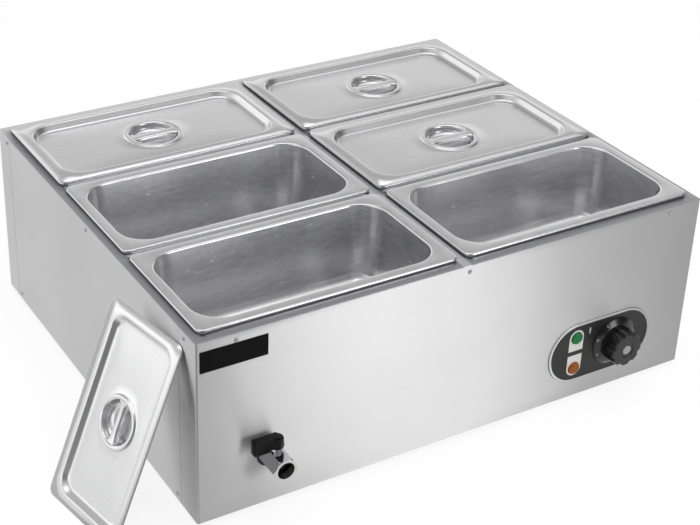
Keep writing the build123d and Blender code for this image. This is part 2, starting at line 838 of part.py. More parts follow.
def gland_nut():
    start = (gland_x, half_depth - sheet, gland_height)
    nut = hexagon(start, FRONT, gland_nut_flats, gland_nut_length)
    return nut - rod(start, FRONT, gland_thread_radius + fastener_clearance, gland_nut_length)


# Feet

def foot_places():
    x = half_width - foot_inset
    y = half_depth - foot_inset
    return {"front_left": (-x, -y), "front_right": (x, -y), "back_left": (-x, y), "back_right": (x, y)}


def rubber_foot(x, y):
    foot = Pos(x, y, -foot_height / 2) * Cone(foot_radius - foot_taper, foot_radius, foot_height)
    foot -= rod((x, y, -foot_height), UP, foot_sink_radius, foot_sink_depth)
    return foot - rod((x, y, -foot_height), UP, foot_screw_radius + fastener_clearance, foot_height)


def foot_screw(x, y):
    seat = -foot_height + foot_sink_depth
    length = -seat + sheet + foot_nut_height + foot_screw_spare
    return headed_pin((x, y, seat), UP, foot_screw_radius, length, foot_screw_head_radius, foot_screw_head_height)


def foot_nut(x, y):
    nut = hexagon((x, y, sheet), UP, foot_nut_flats, foot_nut_height)
    return nut - rod((x, y, sheet), UP, foot_screw_radius + fastener_clearance, foot_nut_height)


# Drain pipe and valve

def drain_pipe():
    """Bent pipe from the tank floor forwards through the front panel into the valve."""
    back = panel_front + pipe_setback
    end = panel_front - valve_standoff - pipe_in_valve
    points = [(drain_x, back, tank_floor), (drain_x, back, drain_height), (drain_x, end, drain_height)]
    return tube_path(points, pipe_bend, pipe_radius) - tube_path(points, pipe_bend, pipe_radius - pipe_wall)


def pipe_grommet():
    """Rubber ring in the front panel round the drain pipe, with a flange on each side."""
    centre = (drain_x, panel_front, drain_height)
    inside = (drain_x, panel_inside, drain_height)
    ring = rod(centre, FRONT, grommet_flange_radius, grommet_flange)
    ring = fillet(ring.edges().group_by(Axis.Y)[0], grommet_flange / 3)
    ring += rod(centre, BACK, grommet_hole_radius, sheet)
    ring += rod(inside, BACK, grommet_flange_radius, grommet_inner_flange)
    bore = (drain_x, panel_inside + grommet_inner_flange, drain_height)
    return ring - rod(bore, FRONT, pipe_radius, grommet_inner_flange + sheet + grommet_flange)


def ball_y():
    return panel_front - valve_standoff - valve_ball_setback


def valve_body():
    """Chromed hexagon body, turned round at its mouth, with the stem boss on its upper flat."""
    inlet = panel_front - valve_standoff
    mouth = inlet - valve_length
    centre = (drain_x, ball_y(), drain_height)
    body = hexagon((drain_x, inlet, drain_height), FRONT, valve_flats, valve_length)
    turned = rod((drain_x, inlet, drain_height), FRONT, valve_flats / sqrt(3), valve_length)
    body &= fillet(turned.edges().group_by(Axis.Y)[0], valve_end_round)
    body += rod(centre, UP, stem_boss_radius, stem_boss_height)
    body -= Pos(*centre) * Sphere(ball_radius + ball_clearance)
    body -= rod((drain_x, ball_y() + seat_far, drain_height), FRONT, seat_radius, 2 * seat_far)
    body -= rod((drain_x, inlet, drain_height), FRONT, valve_waterway_radius, valve_length)
    body -= rod((drain_x, inlet, drain_height), FRONT, pipe_radius + pipe_fit, pipe_in_valve)
    body -= rod((drain_x, mouth, drain_height), BACK, valve_outlet_bore_radius, valve_outlet_bore_depth)
    return body - rod(centre, UP, stem_radius + shaft_clearance, stem_boss_height)


def valve_seat(side):
    """Ring between the valve body and the ball, on one side of the ball along Y."""
    start = (drain_x, ball_y() + side * seat_near, drain_height)
    direction = BACK if side > 0 else FRONT
    ring = rod(start, direction, seat_radius, seat_far - seat_near)
    ring -= rod(start, direction, valve_waterway_radius, seat_far - seat_near)
    return ring - Pos(drain_x, ball_y(), drain_height) * Sphere(ball_radius + ball_clearance)


def valve_ball():
    """Ball bored along X, which closes the valve in the rest position."""
    ball = Pos(drain_x, ball_y(), drain_height) * Sphere(ball_radius)
    ball -= rod((drain_x - ball_radius, ball_y(), drain_height), RIGHT, valve_waterway_radius, 2 * ball_radius)
    pocket = (drain_x, ball_y(), drain_height + ball_radius - stem_in_ball)
    return ball - rod(pocket, UP, stem_radius, stem_in_ball)


def lever_base():
    return drain_height + stem_boss_height + lever_gap


def nut_seat():
    """Height of the floor of the hollow in the lever's hub, where its nut sits."""
    return lever_base() + lever_nut_level


def valve_stem():
    low = drain_height + ball_radius - stem_in_ball
    high = nut_seat() + lever_nut_height
    return rod((drain_x, ball_y(), low), UP, stem_radius, high - low)


def valve_lever():
    """Moulded lever: a round hub on the stem, with a hollow for the nut, under a blade that points
    left across the flow and slopes down at its other end."""
    foot = lever_base()
    hub_height = lever_nut_level + lever_pocket_depth + lever_pocket_roof
    hub = rod((drain_x, ball_y(), foot), UP, lever_hub_radius, hub_height)
    hub = fillet(hub.edges().group_by(Axis.Z)[-1], lever_hub_round)
    wing_height = lever_height + lever_wing_drop
    wing_length = lever_reach - lever_wing_start
    wing_x = drain_x - lever_wing_start - wing_length / 2
    wing_z = foot - lever_wing_drop + wing_height / 2
    wing = Pos(wing_x, ball_y(), wing_z) * Box(wing_length, lever_thickness, wing_height)
    wing = fillet(wing.edges(), lever_round)
    root = -1.5 * lever_wing_start
    outline = Polyline((root, 0), (lever_hub_radius, 0), (lever_hub_radius, lever_nose_foot),
                       (lever_nose_top, lever_height), (root, lever_height), close=True)
    side = Plane(origin=(drain_x, ball_y() + lever_thickness / 2, foot), x_dir=(1, 0, 0), z_dir=(0, -1, 0))
    blade = side * extrude(make_face(outline), lever_thickness)
    free = [edge for edge in blade.edges()
            if edge.center().X > drain_x + root + sheet and edge.center().Z > foot + sheet]
    lever = hub + wing + fillet(free, lever_round)
    lever -= rod((drain_x, ball_y(), nut_seat()), UP, lever_pocket_radius, lever_pocket_depth)
    return lever - rod((drain_x, ball_y(), foot), UP, stem_radius, lever_nut_level)


def lever_nut():
    start = (drain_x, ball_y(), nut_seat())
    return hexagon(start, UP, lever_nut_flats, lever_nut_height) - rod(start, UP, stem_radius, lever_nut_height)


# Every piece by name, with groups of like fasteners as one entry

def build_parts():
    pieces = {
        "front_panel": front_panel(), "rear_panel": rear_panel(),
        "left_side_panel": side_panel(-1), "right_side_panel": side_panel(1),
        "base_plate": base_plate(), "top_deck": top_deck(), "water_tank": water_tank(),
        "name_plate": name_plate(), "heating_element": heating_element(),
        "overheat_cutout": overheat_cutout(), "control_plate": control_plate(),
        "thermostat_body": thermostat_body(), "thermostat_shaft": thermostat_shaft(),
        "thermostat_knob": thermostat_knob(), "knob_cap": knob_cap(),
        "capillary_bulb": capillary_bulb(), "capillary_gland": capillary_gland(),
        "terminal_block": terminal_block(), "cable_gland": cable_gland(), "gland_nut": gland_nut(),
        "drain_pipe": drain_pipe(), "pipe_grommet": pipe_grommet(), "valve_body": valve_body(),
        "valve_ball": valve_ball(), "valve_stem": valve_stem(), "valve_lever": valve_lever(),
        "lever_nut": lever_nut(), "leaning_lid": leaning_lid(),
    }
    pan = food_pan()
    lid = recessed_lid(pan_length, pan_width, pan_rim + lid_clearance,
                       pan_mouth_corner - lid_clearance, lid_sink, lid_dish_radius,
                       lid_ring_width, lid_bar_width)
    lidded = {"back_left", "back_right", "middle_right"}
    for row_name, row in (("front", -1), ("middle", 0), ("back", 1)):
        for column_name, column in (("left", -1), ("right", 1)):
            name = f"{row_name}_{column_name}"
            place = Pos(column * column_pitch / 2, row * row_pitch, 0)
            pieces[f"pan_{name}"] = place * pan
            if name in lidded:
                pieces[f"lid_{name}"] = place * Pos(0, 0, rim_top) * lid
    for row_name, row in (("front", -1), ("back", 1)):
        for column_name, column in (("left", -1), ("right", 1)):
            pieces[f"cross_bar_{row_name}_{column_name}"] = cross_bar(column, row)
    for colour, z in lamp_heights().items():
        pieces[f"{colour}_lens"] = lamp_lens(z)
        pieces[f"{colour}_lamp_body"] = lamp_body(z)
    for name, (x, y) in foot_places().items():
        pieces[f"foot_{name}"] = rubber_foot(x, y)
    groups = {
        "deck_screws": [headed_pin(start, direction, deck_screw_radius, deck_screw_length,
                                   deck_screw_head_radius, deck_screw_head_height)
                        for start, direction in screw_places()],
        "base_rivets": [headed_pin(start, direction, rivet_radius, rivet_length,
                                   rivet_head_radius, rivet_head_height)
                        for start, direction in rivet_places()],
        "foot_screws": [foot_screw(x, y) for x, y in foot_places().values()],
        "foot_nuts": [foot_nut(x, y) for x, y in foot_places().values()],
        "lamp_nuts": [lamp_nut(z) for z in lamp_heights().values()],
        "thermostat_screws": [thermostat_screw(start) for start in thermostat_screw_starts()],
        "element_glands": [element_gland(y) for y in (-element_outer_y, element_outer_y)],
        "valve_seats": [valve_seat(side) for side in (-1, 1)],
        "leads": leads(),
    }
    for name, members in groups.items():
        solids = []
        for member in members:
            solids.extend(member.solids())
        pieces[name] = Compound(solids)
    return pieces


os.makedirs("parts", exist_ok=True)
for node, shape in build_parts().items():
    export_step(shape, f"parts/{node}.step")
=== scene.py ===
import json
import math
import bmesh
import bpy
from mathutils import Matrix, Vector


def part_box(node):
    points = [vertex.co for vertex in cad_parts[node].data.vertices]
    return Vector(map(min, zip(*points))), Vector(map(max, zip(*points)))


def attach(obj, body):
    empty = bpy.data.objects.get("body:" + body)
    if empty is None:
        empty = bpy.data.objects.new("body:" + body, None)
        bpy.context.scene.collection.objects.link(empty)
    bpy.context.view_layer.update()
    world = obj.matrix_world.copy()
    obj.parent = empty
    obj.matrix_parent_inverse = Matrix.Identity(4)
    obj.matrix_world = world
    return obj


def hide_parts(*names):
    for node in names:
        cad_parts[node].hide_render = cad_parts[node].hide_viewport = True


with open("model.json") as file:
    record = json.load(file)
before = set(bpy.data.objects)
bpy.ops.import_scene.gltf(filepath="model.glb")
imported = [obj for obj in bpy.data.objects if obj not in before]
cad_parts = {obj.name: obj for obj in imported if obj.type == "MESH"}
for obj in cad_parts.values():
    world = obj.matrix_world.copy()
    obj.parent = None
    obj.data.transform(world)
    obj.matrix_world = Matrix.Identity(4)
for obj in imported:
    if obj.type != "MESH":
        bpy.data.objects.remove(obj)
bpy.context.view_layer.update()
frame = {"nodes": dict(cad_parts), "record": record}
nodes = frame["nodes"]

# Real sizes in metres: pans and lids
MM = 0.001
SHEET = 0.8 * MM
PAN_RIM = 13.5 * MM
PAN_MOUTH_CORNER = 35 * MM
PAN_FLARE = 10 * MM
PAN_FLOOR_ROUND = 14 * MM
PAN_FLOOR_RUN = 22 * MM
RIM_CORNER = 9 * MM
RIM_BEND = 2 * MM
LIP_BEND = 3 * MM
LEAST_CORNER = 0.5 * MM
LID_CLEARANCE = 1.5 * MM
LID_SINK = 9 * MM
LID_SLOPE = 5 * MM
LID_PANEL_ROUND = 6 * MM
LID_PANEL_RUN = 4 * MM
LID_CROWN = 1.2 * MM
CROWN_SHARES = (0.15, 0.32, 0.5, 0.68, 0.85)
DISH_DEPTH = 9 * MM
DISH_ROUND = 7 * MM
DISH_FLOOR_RUN = 12 * MM
RING_RISE = 2.5 * MM
RING_LIP_SHARE = 0.4
RING_FOOT_SHARE = 0.35
BAR_RISE = 1.5 * MM
BAR_ROUND = 4 * MM
BAR_SLOPE = 2.5 * MM
BAR_FLARE = 4 * MM
BAR_FLARE_POWER = 5
LID_DISH_RADIUS = 32 * MM
LID_RING_WIDTH = 8.5 * MM
LID_BAR_WIDTH = 16 * MM
SMALL_LID_RIM = 11 * MM
SMALL_LID_RECESS_CORNER = 20 * MM
SMALL_LID_SINK = 6.5 * MM
SMALL_LID_DISH_RADIUS = 25.5 * MM
SMALL_LID_RING_WIDTH = 7 * MM
SMALL_LID_BAR_WIDTH = 12.5 * MM
SMALL_LID_LENGTH = 240 * MM
SMALL_LID_WIDTH = 130 * MM
SMALL_LID_TURN = math.radians(10)
SMALL_LID_LEAN = math.radians(23.5)

# Knob, its scale and the lamp labels
KNOB_SKIRT_RADIUS = 33.5 * MM
KNOB_SKIRT_TAPER = 9 * MM
KNOB_SKIRT_HEIGHT = 4.5 * MM
KNOB_SKIRT_ROUND = 0.8 * MM
KNOB_FOOT_WIDTH = 3 * MM
KNOB_FOOT_ROUND = 0.4 * MM
KNOB_GRIP_RADIUS = 22.5 * MM
KNOB_GRIP_LENGTH = 20.5 * MM
KNOB_GRIP_MARGIN = 1.2 * MM
KNOB_GRIP_DRAFT = 0.6 * MM
KNOB_GRIP_FILLET = 0.3 * MM
KNOB_GRIP_ROUND = 1.5 * MM
KNOB_GRIP_FACE = 4 * MM
KNOB_SCALLOPS = 8
KNOB_SCALLOP_RADIUS = 6.5 * MM
KNOB_SCALLOP_DEPTH = 2.2 * MM
KNOB_RING_RADIUS = 10 * MM
KNOB_RING_DEPTH = 1 * MM
KNOB_RING_MARGIN = 1.5 * MM
KNOB_RING_ROUND = 0.5 * MM
KNOB_RING_DRAFT = 0.3 * MM
KNOB_RING_FILLET = 0.3 * MM
KNOB_RING_FLOOR = 3 * MM
DIAL_NUMBERS = ("0", "30", "40", "50", "60", "70", "85")
DIAL_START = 120
DIAL_STEP = 42
NUMBER_SIZE = 4.2 * MM
NUMBER_RAISE = 0.05 * MM
INDEX_HALF_WIDTH = 1.2 * MM
INDEX_HALF_HEIGHT = 4.4 * MM
INDEX_CORNER = 0.9 * MM
INDEX_THICKNESS = 0.12 * MM
INDEX_LEFT = 40 * MM
INDEX_ABOVE = 26 * MM
LABEL_HALF_WIDTH = 10.6 * MM
LABEL_HEIGHT = 29 * MM
LABEL_THICKNESS = 0.25 * MM
LABEL_HOLE_RADIUS = 8.3 * MM

# Screws, rivets and the thread in the drain's outlet
DECK_SCREW_RADIUS = 2.6 * MM
DECK_SCREW_HEIGHT = 1.6 * MM
FRONT_SCREW_INSET = 47 * MM
SIDE_SCREW_INSET = 28 * MM
RIVET_HEAD_RADIUS = 2.6 * MM
RIVET_HEAD_HEIGHT = 1.2 * MM
VALVE_BORE_RADIUS = 10.3 * MM
VALVE_BORE_DEPTH = 12 * MM
VALVE_WATERWAY_RADIUS = 5.5 * MM
LINING_PLAY = 0.05 * MM
LINING_WALL = 0.1 * MM
LINING_FLOOR = 0.7 * MM
THREAD_START = 1.2 * MM
THREAD_DEPTH = 0.7 * MM
THREAD_PITCH = 1.8 * MM
THREAD_TURNS = 5

# Level of the floor, under the feet
FLOOR_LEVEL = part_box("foot_front_left")[0].z

# How finely curves are drawn
BEND_STEPS = 8
CORNER_STEPS = 9
END_STEPS = 8
SIDE_STEPS = 20
DISH_STEPS = 7
BAR_STEPS = 14
KNOB_POINTS = 240
LABEL_END_STEPS = 24
LABEL_HOLE_POINTS = 48
THREAD_POINTS = 64
MERGE_DISTANCE = 1e-6
SHARP_ANGLE = math.radians(32)


# Colours and shader nodes

def colour(hex_value):
    """Turns an sRGB hex value to the linear colour that a socket takes."""
    parts = [int(hex_value[i:i + 2], 16) / 255 for i in (0, 2, 4)]
    return [c / 12.92 if c <= 0.04045 else ((c + 0.055) / 1.055) ** 2.4 for c in parts] + [1.0]


def add(tree, kind, links=None, **settings):
    """Adds a node to a tree, sets its properties and fills its sockets with values or other sockets."""
    made = tree.nodes.new(kind)
    for name, value in settings.items():
        setattr(made, name, value)
    for socket, value in (links or {}).items():
        if isinstance(value, bpy.types.NodeSocket):
            tree.links.new(value, made.inputs[socket])
        else:
            made.inputs[socket].default_value = value
    return made


def finish_named(name, **sockets):
    """Starts a material with one principled shader whose plain sockets are set."""
    material = bpy.data.materials.new(name)
    material.use_nodes = True
    shader = material.node_tree.nodes["Principled BSDF"]
    for socket, value in sockets.items():
        shader.inputs[socket.replace("_", " ")].default_value = value
    return material, material.node_tree, shader


def object_place(tree, cell_mm, turned=(0, 0, 0)):
    """Object coordinates of the piece, turned to its own axes, in cells of a size on each axis."""
    place = add(tree, "ShaderNodeTexCoord").outputs["Object"]
    cell = [size * MM for size in cell_mm]
    return add(tree, "ShaderNodeMapping", {"Vector": place, "Rotation": turned, "Scale": cell},
               vector_type="TEXTURE").outputs["Vector"]


# Sizes of patterns in mm, and the depth of fine relief
ONE_MM = (1, 1, 1)
SHEET_PATCH = (200, 200, 200)
PLASTIC_CLOUD = (16, 16, 16)
WEAR_CLOUD = (4.5, 4.5, 4.5)
LENS_PRISM = (1.3, 1.3, 1.3)
GRAIN_DEPTH = 0.1 * MM
PRISM_DEPTH = 0.4 * MM
CLEAN_FADE = 0.5
# Tone of the painted shade laid along seams
SEAM_SOIL = "646466"
PLASTIC_SPREAD = 0.06


def brushed_steel(name, dark, light, roughness, spread, grain_mm, bump, stretch=0.0, turned=(0, 0, 0),
                  seam=None, dulled=None, clean=None):
    """Cold-rolled stainless sheet brushed with a belt: long fine scratches one way, which show as
    faint streaks of roughness, over broad soft patches of tone. The scratches are drawn about
    1 mm apart, coarser than the real 0.1 mm, so that they show. Across level scratches, highlights
    are drawn out up and down by the stretch. Along seams a dark line of painted shade is laid where
    other parts close the sheet in: a width in mm and the two shares of open sky between which it fades
    out. A greyer front gives a greyer tone, which fades out between two places from front to back.
    Between the two places of the plain band across it, in mm, there is neither painted shade nor greyer tone."""
    material, tree, shader = finish_named(name, Metallic=1.0, Anisotropic=stretch, Anisotropic_Rotation=0.25)
    streaks = add(tree, "ShaderNodeTexNoise", {"Vector": object_place(tree, grain_mm, turned), "Scale": 1.0,
                                               "Detail": 4.0, "Roughness": 0.65}).outputs["Fac"]
    patches = add(tree, "ShaderNodeTexNoise", {"Vector": object_place(tree, SHEET_PATCH), "Scale": 1.0,
                                               "Detail": 2.0}).outputs["Fac"]
    tone = colour(dark)
    for pattern, start, end, most in ((streaks, 0.3, 0.7, 0.45), (patches, 0.35, 0.65, 0.5)):
        share = add(tree, "ShaderNodeMapRange", {"Value": pattern, "From Min": start, "From Max": end,
                                                 "To Max": most}).outputs["Result"]
        tone = add(tree, "ShaderNodeMix", {0: share, 6: tone, 7: colour(light)}, data_type="RGBA").outputs[2]
    # Each cover is the value that it follows, where it starts to fade, where it has gone, and its tone
    covers = []
    # A greyer tone over the front of the sheet, fading out between two places toward the back
    if dulled:
        grey, front, back = dulled
        depth = add(tree, "ShaderNodeSeparateXYZ", {0: object_place(tree, ONE_MM)}).outputs["Y"]
        covers.append((depth, front, back, colour(grey)))
    # Painted shade: a dark line where ambient occlusion finds other parts close to the sheet
    if seam:
        width, closed, clear = seam
        sky = add(tree, "ShaderNodeAmbientOcclusion", {"Distance": width * MM}, samples=8).outputs["AO"]
        covers.append((sky, closed, clear, colour(SEAM_SOIL)))
    # Across a band the sheet keeps its plain tone, free of the painted shade and the greyer tone
    if clean:
        left, right = clean
        middle, half = (left + right) / 2, (right - left) / 2
        across = add(tree, "ShaderNodeSeparateXYZ", {0: object_place(tree, ONE_MM)}).outputs["X"]
        across = add(tree, "ShaderNodeMath", {0: across, 1: middle}, operation="SUBTRACT").outputs[0]
        across = add(tree, "ShaderNodeMath", {0: across}, operation="ABSOLUTE").outputs[0]
        covers.append((across, half - CLEAN_FADE, half + CLEAN_FADE, tone))
    for follows, start, end, cover in covers:
        share = add(tree, "ShaderNodeMapRange", {"Value": follows, "From Min": start, "From Max": end})
        tone = add(tree, "ShaderNodeMix", {0: share.outputs["Result"], 6: cover, 7: tone},
                   data_type="RGBA").outputs[2]
    gloss = add(tree, "ShaderNodeMapRange", {"Value": streaks, "From Min": 0.25, "From Max": 0.75,
                                             "To Min": roughness - spread, "To Max": roughness + spread})
    bumped = add(tree, "ShaderNodeBump", {"Height": streaks, "Strength": bump, "Distance": GRAIN_DEPTH})
    tree.links.new(tone, shader.inputs["Base Color"])
    tree.links.new(gloss.outputs["Result"], shader.inputs["Roughness"])
    tree.links.new(bumped.outputs["Normal"], shader.inputs["Normal"])
    return material


def moulded_plastic(name, base, shade, roughness, grain_mm, bump, gloss=0.5):
    """Moulded plastic or rubber, print or enamel, with a fine grain: pits that break up the gloss."""
    material, tree, shader = finish_named(name, IOR=1.53, Specular_IOR_Level=gloss)
    pits = add(tree, "ShaderNodeTexVoronoi", {"Vector": object_place(tree, (grain_mm, grain_mm, grain_mm)),
                                              "Scale": 1.0}).outputs["Distance"]
    cloud = add(tree, "ShaderNodeTexNoise", {"Vector": object_place(tree, PLASTIC_CLOUD), "Scale": 1.0,
                                             "Detail": 3.0}).outputs["Fac"]
    tone = add(tree, "ShaderNodeMix", {0: cloud, 6: colour(base), 7: colour(shade)}, data_type="RGBA")
    worn = add(tree, "ShaderNodeMapRange", {"Value": cloud, "From Min": 0.3, "From Max": 0.7,
                                            "To Min": roughness - PLASTIC_SPREAD,
                                            "To Max": roughness + PLASTIC_SPREAD})
    bumped = add(tree, "ShaderNodeBump", {"Height": pits, "Strength": bump, "Distance": GRAIN_DEPTH})
    tree.links.new(tone.outputs[2], shader.inputs["Base Color"])
    tree.links.new(worn.outputs["Result"], shader.inputs["Roughness"])
    tree.links.new(bumped.outputs["Normal"], shader.inputs["Normal"])
    return material


def plated_metal(name, base, shade, roughness):
    """Polished or plated metal: even colour with faint clouds of wear in its gloss."""
    material, tree, shader = finish_named(name, Metallic=1.0)
    cloud = add(tree, "ShaderNodeTexNoise", {"Vector": object_place(tree, WEAR_CLOUD), "Scale": 1.0,
                                             "Detail": 4.0}).outputs["Fac"]
    tone = add(tree, "ShaderNodeMix", {0: cloud, 6: colour(base), 7: colour(shade)}, data_type="RGBA")
    worn = add(tree, "ShaderNodeMapRange", {"Value": cloud, "From Min": 0.3, "From Max": 0.7,
                                            "To Min": roughness * 0.7, "To Max": roughness * 1.4})
    tree.links.new(tone.outputs[2], shader.inputs["Base Color"])
    tree.links.new(worn.outputs["Result"], shader.inputs["Roughness"])
    return material


def lamp_lens(name, deep, bright):
    """Moulded acrylic pilot lens: tinted, glossy outside, with prisms about 1.3 mm wide inside."""
    material, tree, shader = finish_named(name, IOR=1.49, Roughness=0.16, Specular_IOR_Level=0.25)
    prisms = add(tree, "ShaderNodeTexVoronoi", {"Vector": object_place(tree, LENS_PRISM),
                                                "Scale": 1.0}).outputs["Distance"]
    share = add(tree, "ShaderNodeMapRange", {"Value": prisms, "From Min": 0.05, "From Max": 0.6})
    tone = add(tree, "ShaderNodeMix", {0: share.outputs["Result"], 6: colour(deep), 7: colour(bright)},
               data_type="RGBA")
    bumped = add(tree, "ShaderNodeBump", {"Height": prisms, "Strength": 0.25, "Distance": PRISM_DEPTH})
    tree.links.new(tone.outputs[2], shader.inputs["Base Color"])
    tree.links.new(bumped.outputs["Normal"], shader.inputs["Normal"])
    return material


def leaning_axes():
    """Turn of the loose lid: its length leans up to the cabinet and its top faces out and up."""
    toward = Vector((math.cos(SMALL_LID_TURN), math.sin(SMALL_LID_TURN), 0))
    along = toward * math.sin(SMALL_LID_LEAN) + Vector((0, 0, math.cos(SMALL_LID_LEAN)))
    outward = toward * -math.cos(SMALL_LID_LEAN) + Vector((0, 0, math.sin(SMALL_LID_LEAN)))
    return Matrix((along, outward.cross(along), outward)).transposed()


# Grain in mm: level round the walls, and from left to right on the top sheet and the lids
WALL_GRAIN = (110, 110, 1)
DECK_GRAIN = (110, 1, 110)
PAN_GRAIN = (17, 17, 4.5)
TANK_GRAIN = (25, 25, 25)

steel_wall = brushed_steel("brushed_stainless_wall", "C8C8C9", "D6D6D7", roughness=0.45, spread=0.03,
                           grain_mm=WALL_GRAIN, bump=0.08, stretch=1.0)
# The deck has painted shade along its seams, a greyer tone toward its front, and a plain band between the
# columns
steel_deck = brushed_steel("brushed_stainless_deck", "CDCDCF", "DEDEE0", roughness=0.30, spread=0.04,
                           grain_mm=DECK_GRAIN, bump=0.06, seam=(14, 0.55, 1.0),
                           dulled=("ACACAE", 235, 275), clean=(-8, 3.0))
steel_bar = brushed_steel("brushed_stainless_bar", "CDCDCF", "DEDEE0", roughness=0.30, spread=0.04,
                          grain_mm=DECK_GRAIN, bump=0.06)
steel_pan = brushed_steel("drawn_stainless_pan", "CECECF", "E0E0E1", roughness=0.24, spread=0.04,
                          grain_mm=PAN_GRAIN, bump=0.04)
steel_lid = brushed_steel("pressed_stainless_lid", "D4D4D5", "E2E2E3", roughness=0.28, spread=0.02,
                          grain_mm=DECK_GRAIN, bump=0.015)
# Painted light: the leaning lid is the same pressed stainless as the other lids, with tones painted lighter
steel_small_lid = brushed_steel("pressed_stainless_small_lid", "DCDCDD", "E8E8E9", roughness=0.28,
                                spread=0.02, grain_mm=DECK_GRAIN, bump=0.015,
                                turned=leaning_axes().to_euler())
steel_tank = brushed_steel("pickled_stainless_tank", "A5A5A6", "BEBEBF", roughness=0.40, spread=0.06,
                           grain_mm=TANK_GRAIN, bump=0.06)

# Metals by two tones and roughness
zinc = plated_metal("zinc_plated_steel", "9C9C9E", "B9B9BB", 0.30)
chrome = plated_metal("chromed_brass", "BEBEC0", "DADADB", 0.10)
spun_cap = plated_metal("spun_aluminium", "8E8E90", "B4B4B6", 0.32)
# Dark brass of the outlet's lining: painted shade for the deep bore
dull_brass = plated_metal("oxidised_brass", "2E2A25", "46403A", 0.38)
# Dark nickel of the valve's ball: painted shade for a chromed ball deep in the bore
dull_nickel = plated_metal("worn_nickel_plate", "4A4846", "5E5C59", 0.30)
black_steel = plated_metal("blackened_steel", "161617", "202021", 0.40)
brass = plated_metal("turned_brass", "A8843F", "C9A55C", 0.26)

# Plastics by two tones, roughness, grain in mm, strength of the grain and, where it is low, gloss
black_plate = moulded_plastic("satin_black_enamel", "1A1A1C", "222224", 0.42, 0.5, 0.05, 0.36)
black_print = moulded_plastic("matt_black_print", "070707", "0D0D0D", 0.55, 0.5, 0.04, 0.08)
black_knob = moulded_plastic("moulded_black_abs", "090909", "101011", 0.19, 0.35, 0.05)
black_lever = moulded_plastic("moulded_black_nylon", "0A0A0B", "121213", 0.30, 0.35, 0.10, 0.14)
black_rubber = moulded_plastic("black_nitrile_rubber", "131314", "1D1D1E", 0.62, 0.6, 0.12)
white_nylon = moulded_plastic("natural_nylon", "E4E2DA", "D6D4CC", 0.5, 0.5, 0.05)
lead_cover = moulded_plastic("red_silicone_cover", "8E2A22", "7A221C", 0.55, 0.5, 0.05)
label_vinyl = moulded_plastic("printed_white_vinyl", "F0F0ED", "E7E7E3", 0.46, 0.4, 0.03)
dial_print = moulded_plastic("white_dial_print", "C6C6C3", "BABAB7", 0.5, 0.4, 0.03)
green_lens = lamp_lens("green_acrylic_lens", "044A1C", "118040")
amber_lens = lamp_lens("amber_acrylic_lens", "702E04", "A85A12")


# Mesh pieces

def body_of(node):
    """Name of the body that a solid belongs to."""
    for body, members in frame["record"]["behaviour"]["bodies"].items():
        if node in members:
            return body
    raise KeyError(node)


def show(name, mesh, material, body, replaced=()):
    """Puts a finished mesh in the scene at the origin, hangs it on the body it rides on, and hides the solids
    that it takes the place of.
    """
    mesh.materials.clear()
    mesh.materials.append(material)
    piece = bpy.data.objects.new(name, mesh)
    bpy.context.scene.collection.objects.link(piece)
    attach(piece, body)
    if replaced:
        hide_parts(*replaced)


def middle_of(node):
    """Middle of a solid's box."""
    low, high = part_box(node)
    return (low + high) / 2


def mesh_from(shape, name, closed=False):
    """Mesh of a shape that is done with. A closed shape first has its faces turned outwards."""
    if closed:
        bmesh.ops.recalc_face_normals(shape, faces=shape.faces)
    mesh = bpy.data.meshes.new(name)
    shape.to_mesh(mesh)
    shape.free()
    return mesh


def plain_mesh(source):
    """Mesh of an object with its modifiers worked out, as loose data."""
    bpy.context.view_layer.update()
    graph = bpy.context.evaluated_depsgraph_get()
    mesh = bpy.data.meshes.new_from_object(source.evaluated_get(graph), depsgraph=graph)
    bpy.data.objects.remove(source)
    return mesh


def sheet_mesh(shape):
    """Gives an open skin the sheet's thickness, on the side away from its faces' normals."""
    holder = bpy.data.objects.new("skin", mesh_from(shape, "skin"))
    bpy.context.scene.collection.objects.link(holder)
    wall = holder.modifiers.new("wall", "SOLIDIFY")
    wall.thickness = SHEET
    wall.offset = -1.0
    wall.use_even_offset = True
    return plain_mesh(holder)


def rounded_corners(corners, arc_steps):
    """Outline through (x, y, radius) corners in a plane, with each radius drawn as an arc."""
    outline = []
    for index, (x, y, radius) in enumerate(corners):
        here = Vector((x, y))
        if radius <= 0 or index in (0, len(corners) - 1):
            outline.append(here)
            continue
        before = (Vector(corners[index - 1][:2]) - here).normalized()
        after = (Vector(corners[index + 1][:2]) - here).normalized()
        half = before.angle(after) / 2
        reach = radius / math.tan(half)
        centre = here + (before + after).normalized() * (radius / math.sin(half))
        first = here + before * reach - centre
        last = here + after * reach - centre
        turn = first.angle_signed(last)
        for step in range(arc_steps + 1):
            outline.append(centre + Matrix.Rotation(-turn * step / arc_steps, 2) @ first)
    return outline


def rectangle_ring(shape, half_x, half_y, corner, z):
    """Adds the points of a rounded rectangle about the origin: close together round its corners and
    at even angles from the middle along its sides."""
    ring = []
    flat_x, flat_y = half_x - corner, half_y - corner
    for quarter, (sign_x, sign_y) in enumerate(((1, 1), (-1, 1), (-1, -1), (1, -1))):
        for step in range(CORNER_STEPS + 1):
            angle = math.radians(90 * (quarter + step / CORNER_STEPS))
            ring.append((sign_x * flat_x + corner * math.cos(angle),
                         sign_y * flat_y + corner * math.sin(angle)))
        if quarter % 2 == 0:
            widest = math.atan2(flat_x, half_y)
            spreads = [widest * (1 - 2 * step / SIDE_STEPS) for step in range(1, SIDE_STEPS)]
            ring += [(sign_x * half_y * math.tan(spread), sign_y * half_y) for spread in spreads]
        else:
            widest = math.atan2(flat_y, half_x)
            spreads = [widest * (1 - 2 * step / END_STEPS) for step in range(1, END_STEPS)]
            ring += [(sign_x * half_x, sign_y * half_x * math.tan(spread)) for spread in spreads]
    return [shape.verts.new((x, y, z)) for x, y in ring]


